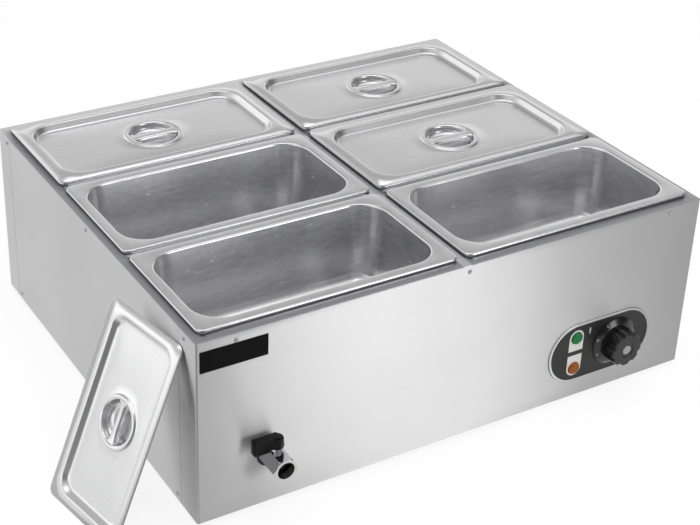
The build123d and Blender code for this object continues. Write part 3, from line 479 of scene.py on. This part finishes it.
def ring_within(shape, outer, radius, z, share=1.0):
    """Adds a ring part of the way from an outer ring to a circle, each point on its own ray."""
    ring = []
    for point in outer:
        target = point.co.xy.normalized() * radius
        ring.append(shape.verts.new((*point.co.xy.lerp(target, share), z)))
    return ring


def round_ring(shape, radius, z, count):
    """Adds the points of a circle, or of a curve whose radius is a function of the angle."""
    ring = []
    for index in range(count):
        angle = 2 * math.pi * (index + 0.5) / count
        reach = radius(angle) if callable(radius) else radius
        ring.append(shape.verts.new((reach * math.cos(angle), reach * math.sin(angle), z)))
    return ring


def skin(shape, rings):
    """Joins each ring of points to the next with smooth faces."""
    for low, high in zip(rings, rings[1:]):
        for index in range(len(low)):
            after = (index + 1) % len(low)
            face = shape.faces.new((low[index], low[after], high[after], high[index]))
            face.smooth = True


def cap(shape, ring):
    """Closes a ring with a fan of faces about its middle."""
    middle = sum((point.co for point in ring), Vector()) / len(ring)
    centre = shape.verts.new(middle)
    for index in range(len(ring)):
        face = shape.faces.new((ring[index], ring[(index + 1) % len(ring)], centre))
        face.smooth = True


def corner_at(inset, mouth, mouth_corner):
    """Corner radius of a pressed rim at a distance in from its outer edge."""
    flat_end = mouth - LIP_BEND
    if inset <= RIM_BEND:
        return RIM_CORNER - inset
    if inset >= flat_end:
        return mouth_corner + mouth - inset
    share = (inset - RIM_BEND) / (flat_end - RIM_BEND)
    return (RIM_CORNER - RIM_BEND) * (1 - share) + (mouth_corner + LIP_BEND) * share


def pressed_rings(shape, length, width, outline, mouth, mouth_corner):
    """Rings of a pressed tray along an outline of (distance in, height)."""
    rings = []
    for inset, z in outline:
        corner = max(corner_at(inset, mouth, mouth_corner), LEAST_CORNER)
        rings.append(rectangle_ring(shape, length / 2 - inset, width / 2 - inset, corner, z))
    return rings


def food_pan():
    """Deep-drawn pan: turned-down edge, flat rim, rounded mouth, sloping walls and a rounded floor."""
    low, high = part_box("pan_front_left")
    length, width = high.x - low.x, high.y - low.y
    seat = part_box("top_deck")[1].z
    floor = low.z + SHEET
    wall_end = PAN_RIM + PAN_FLARE
    outline = rounded_corners([(0, seat, 0), (0, high.z, RIM_BEND), (PAN_RIM, high.z, LIP_BEND),
                               (wall_end, floor, PAN_FLOOR_ROUND), (wall_end + PAN_FLOOR_RUN, floor, 0)],
                              BEND_STEPS)
    shape = bmesh.new()
    rings = pressed_rings(shape, length, width, outline, PAN_RIM, PAN_MOUTH_CORNER)
    skin(shape, rings)
    cap(shape, rings[-1])
    return sheet_mesh(shape)


def dish_outline(wall, ring_width, level, floor):
    """Section of the finger dish as (radius, height), from the foot of its raised ring to its floor."""
    lip = ring_width * RING_LIP_SHARE
    foot = ring_width * RING_FOOT_SHARE
    top = level + RING_RISE
    outline = []
    for step in range(DISH_STEPS + 1):
        share = step / DISH_STEPS
        rise = RING_RISE * (1 - math.cos(math.pi * share)) / 2
        outline.append((wall + ring_width - foot * share, level + rise))
    outline.append((wall + lip, top))
    for step in range(1, DISH_STEPS + 1):
        angle = math.radians(90) * step / DISH_STEPS
        outline.append((wall + lip - lip * math.sin(angle), top - lip * (1 - math.cos(angle))))
    below = rounded_corners([outline[-1] + (0,), (wall, floor, DISH_ROUND),
                             (wall - DISH_FLOOR_RUN, floor, 0)], BEND_STEPS)
    return outline + [tuple(point) for point in below[1:]]


def dish_reach(z, wall, lip, level, floor):
    """How far out the middle of the dish's sheet lies at a height."""
    above = z - (level + RING_RISE - lip)
    below = floor + DISH_ROUND - z
    radius = wall
    if above > 0:
        radius += lip - math.sqrt(max(lip ** 2 - above ** 2, 0))
    if below > 0:
        radius += math.sqrt(max(DISH_ROUND ** 2 - below ** 2, 0)) - DISH_ROUND
    return radius + SHEET / 2


def grip_bar(wall, ring_width, bar_width, level, floor):
    """Bar pressed across the finger dish: rounded top, sloping sides, and ends that widen and rise
    into the ring."""
    half = bar_width / 2
    low = floor - SHEET / 2
    shape = bmesh.new()
    sections = []
    for step in range(-BAR_STEPS, BAR_STEPS + 1):
        flare = abs(step / BAR_STEPS) ** BAR_FLARE_POWER
        foot = half + BAR_FLARE * flare
        high = level + BAR_RISE + (RING_RISE - BAR_RISE) * flare / 2
        outline = rounded_corners([(-foot, low, 0), (BAR_SLOPE - foot, high, BAR_ROUND),
                                   (foot - BAR_SLOPE, high, BAR_ROUND), (foot, low, 0)], arc_steps=6)
        section = []
        for y, z in outline:
            end = math.sqrt(dish_reach(z, wall, ring_width * RING_LIP_SHARE, level, floor) ** 2 - y ** 2)
            section.append(shape.verts.new((end * step / BAR_STEPS, y, z)))
        sections.append(section)
    skin(shape, sections)
    shape.faces.new(sections[0])
    shape.faces.new(sections[-1])
    return mesh_from(shape, "bar", closed=True)


def joined(*meshes):
    """One mesh out of several."""
    shape = bmesh.new()
    for mesh in meshes:
        shape.from_mesh(mesh)
        bpy.data.meshes.remove(mesh)
    return mesh_from(shape, "joined")


def recessed_lid(length, width, rim, recess_corner, sink, dish_radius, ring_width, bar_width):
    """Pressed lid: flat rim, sunk and faintly crowned panel, and a round finger dish with a raised
    ring and a bar across. The underside of its rim is at height 0."""
    mouth = rim + SHEET
    slope_end = mouth + LID_SLOPE
    panel = SHEET - sink
    crown = panel + LID_CROWN
    floor = panel - DISH_DEPTH
    wall = dish_radius - SHEET
    outline = rounded_corners([(0, SHEET, 0), (mouth, SHEET, LIP_BEND),
                               (slope_end, panel, LID_PANEL_ROUND - SHEET),
                               (slope_end + LID_PANEL_RUN, panel, 0)], BEND_STEPS)
    shape = bmesh.new()
    rings = pressed_rings(shape, length, width, outline, mouth, recess_corner - SHEET)
    edge = rings[-1]
    for share in CROWN_SHARES:
        height = crown - LID_CROWN * (1 - share) ** 2
        rings.append(ring_within(shape, edge, wall + ring_width, height, share))
    for radius, z in dish_outline(wall, ring_width, crown, floor):
        rings.append(ring_within(shape, edge, radius, z))
    skin(shape, rings)
    cap(shape, rings[-1])
    return joined(sheet_mesh(shape), grip_bar(wall, ring_width, bar_width, crown, floor))


def moved(mesh, matrix):
    """Copy of a mesh with a place worked into its points."""
    copy = mesh.copy()
    copy.transform(matrix)
    return copy


pan_mesh = food_pan()
for row in ("front", "middle", "back"):
    for column in ("left", "right"):
        node = f"pan_{row}_{column}"
        middle = middle_of(node)
        place = Matrix.Translation((middle.x, middle.y, 0))
        show(f"drawn_{node}", moved(pan_mesh, place), steel_pan, node, [node])

lid_low, lid_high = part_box("lid_back_left")
lid_mesh = recessed_lid(lid_high.x - lid_low.x, lid_high.y - lid_low.y, PAN_RIM + LID_CLEARANCE,
                        PAN_MOUTH_CORNER - LID_CLEARANCE, LID_SINK, LID_DISH_RADIUS, LID_RING_WIDTH,
                        LID_BAR_WIDTH)
for node in ("lid_back_left", "lid_back_right", "lid_middle_right"):
    middle = middle_of(node)
    place = Matrix.Translation((middle.x, middle.y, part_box(node)[1].z - SHEET))
    show(f"pressed_{node}", moved(lid_mesh, place), steel_lid, node, [node])


def leaning_place(mesh):
    """Place of the loose lid: on a short edge, turned and leaning, in the box of its solid."""
    turned = leaning_axes()
    corners = [turned @ point.co for point in mesh.vertices]
    middle = Vector([(min(c[i] for c in corners) + max(c[i] for c in corners)) / 2 for i in range(3)])
    return Matrix.Translation(middle_of("leaning_lid") - middle) @ turned.to_4x4()


small_lid = recessed_lid(SMALL_LID_LENGTH, SMALL_LID_WIDTH, SMALL_LID_RIM, SMALL_LID_RECESS_CORNER,
                         SMALL_LID_SINK, SMALL_LID_DISH_RADIUS, SMALL_LID_RING_WIDTH, SMALL_LID_BAR_WIDTH)
small_lid.transform(leaning_place(small_lid))
show("pressed_leaning_lid", small_lid, steel_small_lid, "leaning_lid", ["leaning_lid"])


# Knob with its scallops and printed scale

FACING_FRONT = Matrix.Rotation(math.radians(90), 4, "X")
knob = middle_of("thermostat_knob")
KNOB_PLACE = Matrix.Translation((knob.x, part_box("thermostat_knob")[1].y, knob.z)) @ FACING_FRONT


def scalloped(angle, inset):
    """Radius of the grip at an angle, with its hollows."""
    period = 2 * math.pi / KNOB_SCALLOPS
    offset = angle % period - period / 2
    cut = KNOB_GRIP_RADIUS + KNOB_SCALLOP_RADIUS - KNOB_SCALLOP_DEPTH
    inside = KNOB_SCALLOP_RADIUS ** 2 - (cut * math.sin(offset)) ** 2
    reach = KNOB_GRIP_RADIUS
    if inside > 0:
        reach = min(reach, cut * math.cos(offset) - math.sqrt(inside))
    return reach - inset


def knob_mesh():
    """Moulded knob: tapered skirt, fluted grip with a soft edge, ring sunk in its face."""
    top = KNOB_SKIRT_HEIGHT
    face = top + KNOB_GRIP_LENGTH
    sunk = face - KNOB_RING_DEPTH
    # Sections as (radius, height, rounding). That of the grip gives its distance in from the flutes
    skirt = [(KNOB_SKIRT_RADIUS - KNOB_FOOT_WIDTH, 0, 0), (KNOB_SKIRT_RADIUS, 0, KNOB_FOOT_ROUND),
             (KNOB_SKIRT_RADIUS - KNOB_SKIRT_TAPER, top, KNOB_SKIRT_ROUND),
             (KNOB_GRIP_RADIUS + KNOB_GRIP_MARGIN, top, 0)]
    grip = [(-KNOB_GRIP_DRAFT, top, 0), (0, top, KNOB_GRIP_FILLET), (KNOB_GRIP_DRAFT, face, KNOB_GRIP_ROUND),
            (KNOB_GRIP_FACE, face, 0)]
    ring = [(KNOB_RING_RADIUS + KNOB_RING_MARGIN, face, 0), (KNOB_RING_RADIUS, face, KNOB_RING_ROUND),
            (KNOB_RING_RADIUS - KNOB_RING_DRAFT, sunk, KNOB_RING_FILLET),
            (KNOB_RING_RADIUS - KNOB_RING_FLOOR, sunk, 0)]
    shape = bmesh.new()
    rings = [round_ring(shape, KNOB_RING_RADIUS, 0, KNOB_POINTS)]
    for radius, z in rounded_corners(skirt, arc_steps=4):
        rings.append(round_ring(shape, radius, z, KNOB_POINTS))
    for inset, z in rounded_corners(grip, arc_steps=5):
        rings.append(round_ring(shape, lambda angle, inset=inset: scalloped(angle, inset), z, KNOB_POINTS))
    for radius, z in rounded_corners(ring, arc_steps=4):
        rings.append(round_ring(shape, radius, z, KNOB_POINTS))
    skin(shape, rings)
    cap(shape, rings[-1])
    cap(shape, list(reversed(rings[0])))
    mesh = mesh_from(shape, "knob", closed=True)
    mesh.transform(KNOB_PLACE)
    return mesh


show("fluted_knob", knob_mesh(), black_knob, "knob", ["thermostat_knob"])


def dial_scale():
    """Plain numbers printed on the sloping skirt of the knob, as one mesh."""
    marks = []
    slope = math.atan2(KNOB_SKIRT_HEIGHT, KNOB_SKIRT_TAPER)
    radius = KNOB_SKIRT_RADIUS - KNOB_SKIRT_TAPER / 2
    for index, number in enumerate(DIAL_NUMBERS):
        turn = math.radians(DIAL_START + DIAL_STEP * index)
        words = bpy.data.curves.new("number", "FONT")
        words.body = number
        words.size = NUMBER_SIZE
        words.align_x = "CENTER"
        words.align_y = "CENTER"
        words.extrude = NUMBER_RAISE
        holder = bpy.data.objects.new("number", words)
        bpy.context.scene.collection.objects.link(holder)
        mesh = plain_mesh(holder)
        spot = Matrix.Translation((radius * math.cos(turn), radius * math.sin(turn), KNOB_SKIRT_HEIGHT / 2))
        tilt = Matrix.Rotation(turn - math.pi / 2, 4, "Z") @ Matrix.Rotation(-slope, 4, "X")
        mesh.transform(KNOB_PLACE @ spot @ tilt)
        marks.append(mesh)
    return joined(*marks)


show("dial_numbers", dial_scale(), dial_print, "knob")


# Print on the control plate: vinyl labels round the two lamps, and the mark beside the knob

PLATE_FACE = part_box("control_plate")[0].y


def capsule(round_top):
    """Outline of a label with one round end about the lamp's axis."""
    sign = 1 if round_top else -1
    outer = []
    for step in range(LABEL_END_STEPS + 1):
        angle = math.pi * step / LABEL_END_STEPS
        outer.append((LABEL_HALF_WIDTH * math.cos(angle), sign * LABEL_HALF_WIDTH * math.sin(angle)))
    far = -sign * (LABEL_HEIGHT - LABEL_HALF_WIDTH)
    return outer + [(-LABEL_HALF_WIDTH, far), (LABEL_HALF_WIDTH, far)]


def label_mesh(lamp, round_top):
    """Thin printed label on the control plate, with the lamp's lens through it."""
    hole = []
    for index in range(LABEL_HOLE_POINTS):
        angle = 2 * math.pi * index / LABEL_HOLE_POINTS
        hole.append((LABEL_HOLE_RADIUS * math.cos(angle), LABEL_HOLE_RADIUS * math.sin(angle)))
    shape = bmesh.new()
    edges = []
    for outline in (capsule(round_top), hole):
        points = [shape.verts.new((x, y, 0)) for x, y in outline]
        for index in range(len(points)):
            edges.append(shape.edges.new((points[index], points[(index + 1) % len(points)])))
    bmesh.ops.triangle_fill(shape, edges=edges, use_beauty=True, normal=(0, 0, 1))
    bmesh.ops.recalc_face_normals(shape, faces=shape.faces)
    for added in bmesh.ops.extrude_face_region(shape, geom=list(shape.faces))["geom"]:
        if isinstance(added, bmesh.types.BMVert):
            added.co.z += LABEL_THICKNESS
    mesh = mesh_from(shape, "label", closed=True)
    lens = middle_of(lamp)
    mesh.transform(Matrix.Translation((lens.x, PLATE_FACE, lens.z)) @ FACING_FRONT)
    return mesh


show("green_lamp_label", label_mesh("green_lens", True), label_vinyl, "cabinet")
show("amber_lamp_label", label_mesh("amber_lens", False), label_vinyl, "cabinet")


def index_mark():
    """Plain printed bar above and left of the knob, that the numbers are read against."""
    shape = bmesh.new()
    rings = []
    for z in (0, INDEX_THICKNESS):
        rings.append(rectangle_ring(shape, INDEX_HALF_WIDTH, INDEX_HALF_HEIGHT, INDEX_CORNER, z))
    skin(shape, rings)
    cap(shape, rings[-1])
    cap(shape, list(reversed(rings[0])))
    mesh = mesh_from(shape, "index", closed=True)
    mesh.transform(Matrix.Translation((knob.x - INDEX_LEFT, PLATE_FACE, knob.z + INDEX_ABOVE)) @ FACING_FRONT)
    return mesh


show("dial_index", index_mark(), dial_print, "cabinet")


# Threaded lining of the drain's outlet, painted dark as shade in its deep bore

def outlet_thread():
    """Cup in the valve's mouth, painted dark to stand for the shade deep in the bore: a threaded wall and a
    floor round the waterway.
    """
    wall = VALVE_BORE_RADIUS - LINING_PLAY
    crest = wall - THREAD_DEPTH
    root = wall - LINING_WALL
    floor = VALVE_BORE_DEPTH - LINING_FLOOR
    end = VALVE_BORE_DEPTH - LINING_PLAY
    outline = [(wall, THREAD_START), (root, THREAD_START)]
    for turn in range(THREAD_TURNS):
        outline.append((crest, THREAD_START + (turn + 0.5) * THREAD_PITCH))
        outline.append((root, THREAD_START + (turn + 1) * THREAD_PITCH))
    outline += [(root, floor), (VALVE_WATERWAY_RADIUS, floor), (VALVE_WATERWAY_RADIUS, end), (wall, end)]
    shape = bmesh.new()
    rings = [round_ring(shape, radius, -depth, THREAD_POINTS) for radius, depth in outline]
    skin(shape, rings + rings[:1])
    for face in shape.faces:
        face.smooth = False
    mesh = mesh_from(shape, "thread", closed=True)
    axis = middle_of("valve_seats")
    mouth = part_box("valve_body")[0].y
    mesh.transform(Matrix.Translation((axis.x, mouth, axis.z)) @ FACING_FRONT)
    return mesh


show("outlet_thread", outlet_thread(), dull_brass, body_of("valve_body"))


# Screws and rivets, one shape on many points

HEAD_SEGMENTS = 24
HEAD_RINGS = 12
# Length and width as shares of the head's radius, and height as a share of its height
CROSS_SLOT = (1.15, 0.24, 1.0)


def fastener_tree(name, recessed):
    """Geometry tree that puts one head on each point, turned to the point's own normal."""
    tree = bpy.data.node_groups.new(name, "GeometryNodeTree")
    inputs = {"Points": "Geometry", "Radius": "Float", "Height": "Float", "Finish": "Material"}
    for label, kind in inputs.items():
        tree.interface.new_socket(label, in_out="INPUT", socket_type=f"NodeSocket{kind}")
    tree.interface.new_socket("Heads", in_out="OUTPUT", socket_type="NodeSocketGeometry")
    entry = add(tree, "NodeGroupInput").outputs
    dome = add(tree, "GeometryNodeMeshUVSphere", {"Segments": HEAD_SEGMENTS, "Rings": HEAD_RINGS,
                                                  "Radius": 1.0}).outputs["Mesh"]
    size = add(tree, "ShaderNodeCombineXYZ", {"X": entry["Radius"], "Y": entry["Radius"],
                                              "Z": entry["Height"]}).outputs["Vector"]
    head = add(tree, "GeometryNodeTransform", {"Geometry": dome, "Scale": size}).outputs["Geometry"]
    if recessed:
        cross = add(tree, "GeometryNodeJoinGeometry")
        for turn in (0.0, math.pi / 2):
            bar = add(tree, "GeometryNodeMeshCube", {"Size": CROSS_SLOT}).outputs["Mesh"]
            scaled = add(tree, "GeometryNodeTransform", {"Geometry": bar, "Scale": size,
                                                         "Rotation": (0, 0, turn)})
            tree.links.new(scaled.outputs["Geometry"], cross.inputs["Geometry"])
        lift = add(tree, "ShaderNodeCombineXYZ", {"Z": entry["Height"]}).outputs["Vector"]
        raised = add(tree, "GeometryNodeTransform", {"Geometry": cross.outputs["Geometry"],
                                                     "Translation": lift}).outputs["Geometry"]
        head = add(tree, "GeometryNodeMeshBoolean", {"Mesh 1": head, "Mesh 2": raised},
                   operation="DIFFERENCE").outputs["Mesh"]
    normal = add(tree, "GeometryNodeInputNamedAttribute", {"Name": "facing"}, data_type="FLOAT_VECTOR")
    turned = add(tree, "FunctionNodeAlignRotationToVector", {"Vector": normal.outputs["Attribute"]}, axis="Z")
    copies = add(tree, "GeometryNodeInstanceOnPoints", {"Points": entry["Points"], "Instance": head,
                                                        "Rotation": turned.outputs["Rotation"]})
    real = add(tree, "GeometryNodeRealizeInstances", {"Geometry": copies.outputs["Instances"]})
    smooth = add(tree, "GeometryNodeSetShadeSmooth", {"Geometry": real.outputs["Geometry"]})
    finished = add(tree, "GeometryNodeSetMaterial", {"Geometry": smooth.outputs["Geometry"],
                                                     "Material": entry["Finish"]})
    add(tree, "NodeGroupOutput", {"Heads": finished.outputs["Geometry"]})
    return tree


def heads_on(name, places, recessed, radius, height, material):
    """Mesh of one fastener head on each (point, direction) place."""
    points = bpy.data.meshes.new(name)
    points.from_pydata([point for point, facing in places], [], [])
    facing_data = points.attributes.new("facing", "FLOAT_VECTOR", "POINT")
    for index, (point, facing) in enumerate(places):
        facing_data.data[index].vector = facing
    holder = bpy.data.objects.new(name, points)
    bpy.context.scene.collection.objects.link(holder)
    tree = fastener_tree(name, recessed)
    heads = holder.modifiers.new(name, "NODES")
    heads.node_group = tree
    values = {"Radius": radius, "Height": height, "Finish": material}
    for item in tree.interface.items_tree:
        if item.name in values:
            heads[item.identifier] = values[item.name]
    return plain_mesh(holder)


def screw_places():
    """Point and outward direction of each deck screw."""
    low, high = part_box("top_deck")
    level = middle_of("deck_screws").z
    places = []
    for x in (low.x + FRONT_SCREW_INSET, 0, high.x - FRONT_SCREW_INSET):
        places += [((x, low.y, level), (0, -1, 0)), ((x, high.y, level), (0, 1, 0))]
    for y in (low.y + SIDE_SCREW_INSET, 0, high.y - SIDE_SCREW_INSET):
        places += [((low.x, y, level), (-1, 0, 0)), ((high.x, y, level), (1, 0, 0))]
    return places


def rivet_places():
    """Point and outward direction of each rivet at the foot of the side seams."""
    low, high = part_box("top_deck")
    first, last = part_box("base_rivets")
    level = middle_of("base_rivets").z
    places = []
    for y in (first.y + RIVET_HEAD_RADIUS, last.y - RIVET_HEAD_RADIUS):
        places += [((low.x, y, level), (-1, 0, 0)), ((high.x, y, level), (1, 0, 0))]
    return places


screw_heads = heads_on("deck_screw_heads", screw_places(), True, DECK_SCREW_RADIUS, DECK_SCREW_HEIGHT, zinc)
show("cross_head_deck_screws", screw_heads, zinc, "cabinet", ["deck_screws"])
rivet_heads = heads_on("rivet_heads", rivet_places(), False, RIVET_HEAD_RADIUS, RIVET_HEAD_HEIGHT, zinc)
show("domed_base_rivets", rivet_heads, zinc, "cabinet", ["base_rivets"])


# Solids that keep their shape, as smooth copies

def smooth_copy(node, material):
    """Copy of a solid's mesh with its points merged and its round faces shaded smooth."""
    shape = bmesh.new()
    shape.from_mesh(nodes[node].data)
    bmesh.ops.remove_doubles(shape, verts=shape.verts, dist=MERGE_DISTANCE)
    for face in shape.faces:
        face.smooth = True
    for edge in shape.edges:
        edge.smooth = len(edge.link_faces) == 2 and edge.calc_face_angle(0.0) < SHARP_ANGLE
    show(f"finished_{node}", mesh_from(shape, node), material, body_of(node), [node])


FINISHES = {
    "front_panel": steel_wall, "rear_panel": steel_wall, "left_side_panel": steel_wall,
    "right_side_panel": steel_wall, "base_plate": steel_wall, "top_deck": steel_deck,
    "cross_bar_front_left": steel_bar, "cross_bar_front_right": steel_bar,
    "cross_bar_back_left": steel_bar, "cross_bar_back_right": steel_bar,
    "water_tank": steel_tank, "heating_element": steel_tank, "drain_pipe": steel_tank,
    "name_plate": black_print, "control_plate": black_plate, "knob_cap": spun_cap,
    "green_lens": green_lens, "amber_lens": amber_lens,
    "valve_body": chrome, "valve_ball": dull_nickel, "valve_lever": black_lever, "lever_nut": black_steel,
    "valve_stem": black_steel, "pipe_grommet": black_rubber, "valve_seats": white_nylon,
    "cable_gland": black_lever, "gland_nut": black_lever,
    "foot_front_left": black_rubber, "foot_front_right": black_rubber,
    "foot_back_left": black_rubber, "foot_back_right": black_rubber,
    "foot_screws": zinc, "foot_nuts": zinc, "thermostat_body": black_lever,
    "thermostat_shaft": zinc, "thermostat_screws": zinc, "capillary_bulb": brass,
    "capillary_gland": brass, "element_glands": brass, "overheat_cutout": black_lever,
    "terminal_block": white_nylon, "leads": lead_cover, "lamp_nuts": black_lever,
    "green_lamp_body": black_lever, "amber_lamp_body": black_lever,
}
for node, material in FINISHES.items():
    smooth_copy(node, material)


# Floor, light and camera

FLOOR_REACH = 9.0
FLOOR_GLOW = 0.82
FLOOR_GLOSS = 0.70
CARD_GLOSS = 0.05
# Where the card on the floor starts to fade and ends, in metres along X and along Y
CARD_RIGHT = (-0.43, -0.38)
CARD_BACK = (-0.30, -0.20)


def pale_floor():
    """Wide pale floor that is near white to the eye and still takes the soft shadow. The gloss of metal
    also sees a dark card on it, before the left end, as a studio lays one to shape a reflection."""
    signs = ((-1, -1), (1, -1), (1, 1), (-1, 1))
    corners = [(x * FLOOR_REACH, y * FLOOR_REACH, FLOOR_LEVEL) for x, y in signs]
    mesh = bpy.data.meshes.new("floor")
    mesh.from_pydata(corners, [], [(0, 1, 2, 3)])
    material = bpy.data.materials.new("pale_paper_floor")
    material.use_nodes = True
    tree = material.node_tree
    tree.nodes.clear()
    path = add(tree, "ShaderNodeLightPath").outputs
    seen = add(tree, "ShaderNodeMath", {0: path["Is Camera Ray"], 1: path["Is Transmission Ray"]},
               operation="MAXIMUM").outputs[0]
    paper = add(tree, "ShaderNodeBsdfDiffuse", {"Color": colour("DCDCDC")}).outputs["BSDF"]
    shade = add(tree, "ShaderNodeBsdfDiffuse", {"Color": colour("8C8C8C")}).outputs["BSDF"]
    glow = add(tree, "ShaderNodeEmission", {"Strength": FLOOR_GLOW}).outputs["Emission"]
    place = add(tree, "ShaderNodeSeparateXYZ", {0: add(tree, "ShaderNodeTexCoord").outputs["Object"]}).outputs
    sides = []
    for axis, (start, end) in (("X", CARD_RIGHT), ("Y", CARD_BACK)):
        side = add(tree, "ShaderNodeMapRange", {"Value": place[axis], "From Min": start, "From Max": end,
                                                "To Min": 1.0, "To Max": 0.0})
        sides.append(side.outputs["Result"])
    card = add(tree, "ShaderNodeMath", {0: sides[0], 1: sides[1]}, operation="MULTIPLY").outputs[0]
    gloss = add(tree, "ShaderNodeMapRange", {"Value": card, "To Min": FLOOR_GLOSS, "To Max": CARD_GLOSS})
    dim_glow = add(tree, "ShaderNodeEmission", {"Strength": gloss.outputs["Result"]}).outputs["Emission"]
    bright = add(tree, "ShaderNodeAddShader", {0: shade, 1: glow}).outputs["Shader"]
    mirrored = add(tree, "ShaderNodeAddShader", {0: shade, 1: dim_glow}).outputs["Shader"]
    unseen = add(tree, "ShaderNodeMixShader", {0: path["Is Glossy Ray"], 1: paper, 2: mirrored})
    mixed = add(tree, "ShaderNodeMixShader", {0: seen, 1: unseen.outputs["Shader"], 2: bright})
    add(tree, "ShaderNodeOutputMaterial", {"Surface": mixed.outputs["Shader"]})
    mesh.materials.append(material)
    floor = bpy.data.objects.new("floor", mesh)
    bpy.context.scene.collection.objects.link(floor)


LIT_STRENGTH = 0.5
# Brightness near the horizon and above it, and the sines of the heights between which it changes
ROOM_LOW, ROOM_HIGH = 1.15, 1.03
CHANGE_LOW, CHANGE_HIGH = 0.1, 0.4
# Zones as a direction, a factor on the brightness, and the cosines at which it starts and is whole:
# dimmer high up, dim behind the overhead lamp, bright high on the right, brighter on the left,
# dim to the right of the front and dim round the camera
STUDIO_ZONES = (((0, 0, 1), 0.5, 0.385, 0.5),
                ((0, 0, 1), 0.4, 0.9, 0.97),
                ((0.45, -0.14, 0.88), 2.1, 0.86, 0.97),
                ((-1, 0, 0), 1.25, 0.15, 0.45),
                ((0.93, -0.37, 0), 0.15, 0.62, 0.92),
                ((-0.26, -0.966, 0), 0.15, 0.7, 0.88))


def studio_world():
    """White studio surround: white where it is seen and softer where it lights. In the gloss of metal
    its brightness changes from zone to zone, as that of a real studio's walls and cards does."""
    world = bpy.data.worlds.new("studio")
    bpy.context.scene.world = world
    world.use_nodes = True
    tree = world.node_tree
    tree.nodes.clear()
    way = add(tree, "ShaderNodeTexCoord").outputs["Generated"]
    height = add(tree, "ShaderNodeSeparateXYZ", {0: way}).outputs["Z"]
    room = add(tree, "ShaderNodeMapRange", {"Value": height, "From Min": CHANGE_LOW, "From Max": CHANGE_HIGH,
                                            "To Min": ROOM_LOW, "To Max": ROOM_HIGH}).outputs["Result"]
    for direction, factor, start, end in STUDIO_ZONES:
        lean = add(tree, "ShaderNodeVectorMath", {0: way, 1: direction}, operation="DOT_PRODUCT")
        share = add(tree, "ShaderNodeMapRange", {"Value": lean.outputs["Value"], "From Min": start,
                                                 "From Max": end, "To Min": 1.0, "To Max": factor})
        room = add(tree, "ShaderNodeMath", {0: room, 1: share.outputs["Result"]},
                   operation="MULTIPLY").outputs[0]
    path = add(tree, "ShaderNodeLightPath").outputs
    white = colour("FFFFFF")
    lit = add(tree, "ShaderNodeBackground", {"Color": white, "Strength": LIT_STRENGTH}).outputs["Background"]
    glossy = add(tree, "ShaderNodeBackground", {"Color": white, "Strength": room}).outputs["Background"]
    seen = add(tree, "ShaderNodeBackground", {"Color": white, "Strength": 1.0}).outputs["Background"]
    unseen = add(tree, "ShaderNodeMixShader", {0: path["Is Glossy Ray"], 1: lit, 2: glossy})
    mixed = add(tree, "ShaderNodeMixShader", {0: path["Is Camera Ray"], 1: unseen.outputs["Shader"], 2: seen})
    add(tree, "ShaderNodeOutputWorld", {"Surface": mixed.outputs["Shader"]})


def softbox(name, at, target, width, height, watts):
    """Large soft lamp at a point, turned to a target."""
    data = bpy.data.lights.new(name, "AREA")
    data.shape = "RECTANGLE"
    data.size = width
    data.size_y = height
    data.energy = watts
    lamp = bpy.data.objects.new(name, data)
    lamp.location = at
    lamp.rotation_euler = (Vector(target) - Vector(at)).to_track_quat("-Z", "Y").to_euler()
    bpy.context.scene.collection.objects.link(lamp)


# Camera as fitted to the photograph: place in metres, angles in radians, the rest in pixels of its frame
CAMERA_AT = (-0.9217, -1.48262, 1.11159)
CAMERA_TURN = 0.53646
CAMERA_DIP = 0.48952
CAMERA_ROLL = -0.02675
FRAME_WIDTH = 700
FOCAL_LENGTH = 1564.88
SHIFT_RIGHT = 40.0
SHIFT_UP = -65.0
SENSOR_WIDTH = 36.0
FARTHEST = 60.0


def photo_camera():
    """Camera at the photograph's place and angle, for a frame of 700 by 525."""
    ahead = math.cos(CAMERA_DIP)
    forward = Vector((math.sin(CAMERA_TURN) * ahead, math.cos(CAMERA_TURN) * ahead, -math.sin(CAMERA_DIP)))
    right = Vector((math.cos(CAMERA_TURN), -math.sin(CAMERA_TURN), 0))
    down = forward.cross(right)
    level = right * math.cos(CAMERA_ROLL) + down * math.sin(CAMERA_ROLL)
    drop = down * math.cos(CAMERA_ROLL) - right * math.sin(CAMERA_ROLL)
    data = bpy.data.cameras.new("photo_camera")
    data.sensor_fit = "HORIZONTAL"
    data.sensor_width = SENSOR_WIDTH
    data.lens = FOCAL_LENGTH * SENSOR_WIDTH / FRAME_WIDTH
    data.shift_x = SHIFT_RIGHT / FRAME_WIDTH
    data.shift_y = SHIFT_UP / FRAME_WIDTH
    data.clip_end = FARTHEST
    camera = bpy.data.objects.new("photo_camera", data)
    turned = Matrix((level, -drop, -forward)).transposed().to_4x4()
    camera.matrix_world = Matrix.Translation(CAMERA_AT) @ turned
    bpy.context.scene.collection.objects.link(camera)
    bpy.context.scene.camera = camera


pale_floor()
studio_world()
softbox("overhead_softbox", at=(-0.3, -0.3, 2.6), target=(0, 0, 0.2), width=2.4, height=2.0, watts=18)
softbox("right_front_strip", at=(1.02, -2.3, 0.6), target=(0, -0.2, 0.15), width=0.7, height=1.1, watts=12)
photo_camera()
bpy.context.scene.view_settings.view_transform = "Standard"
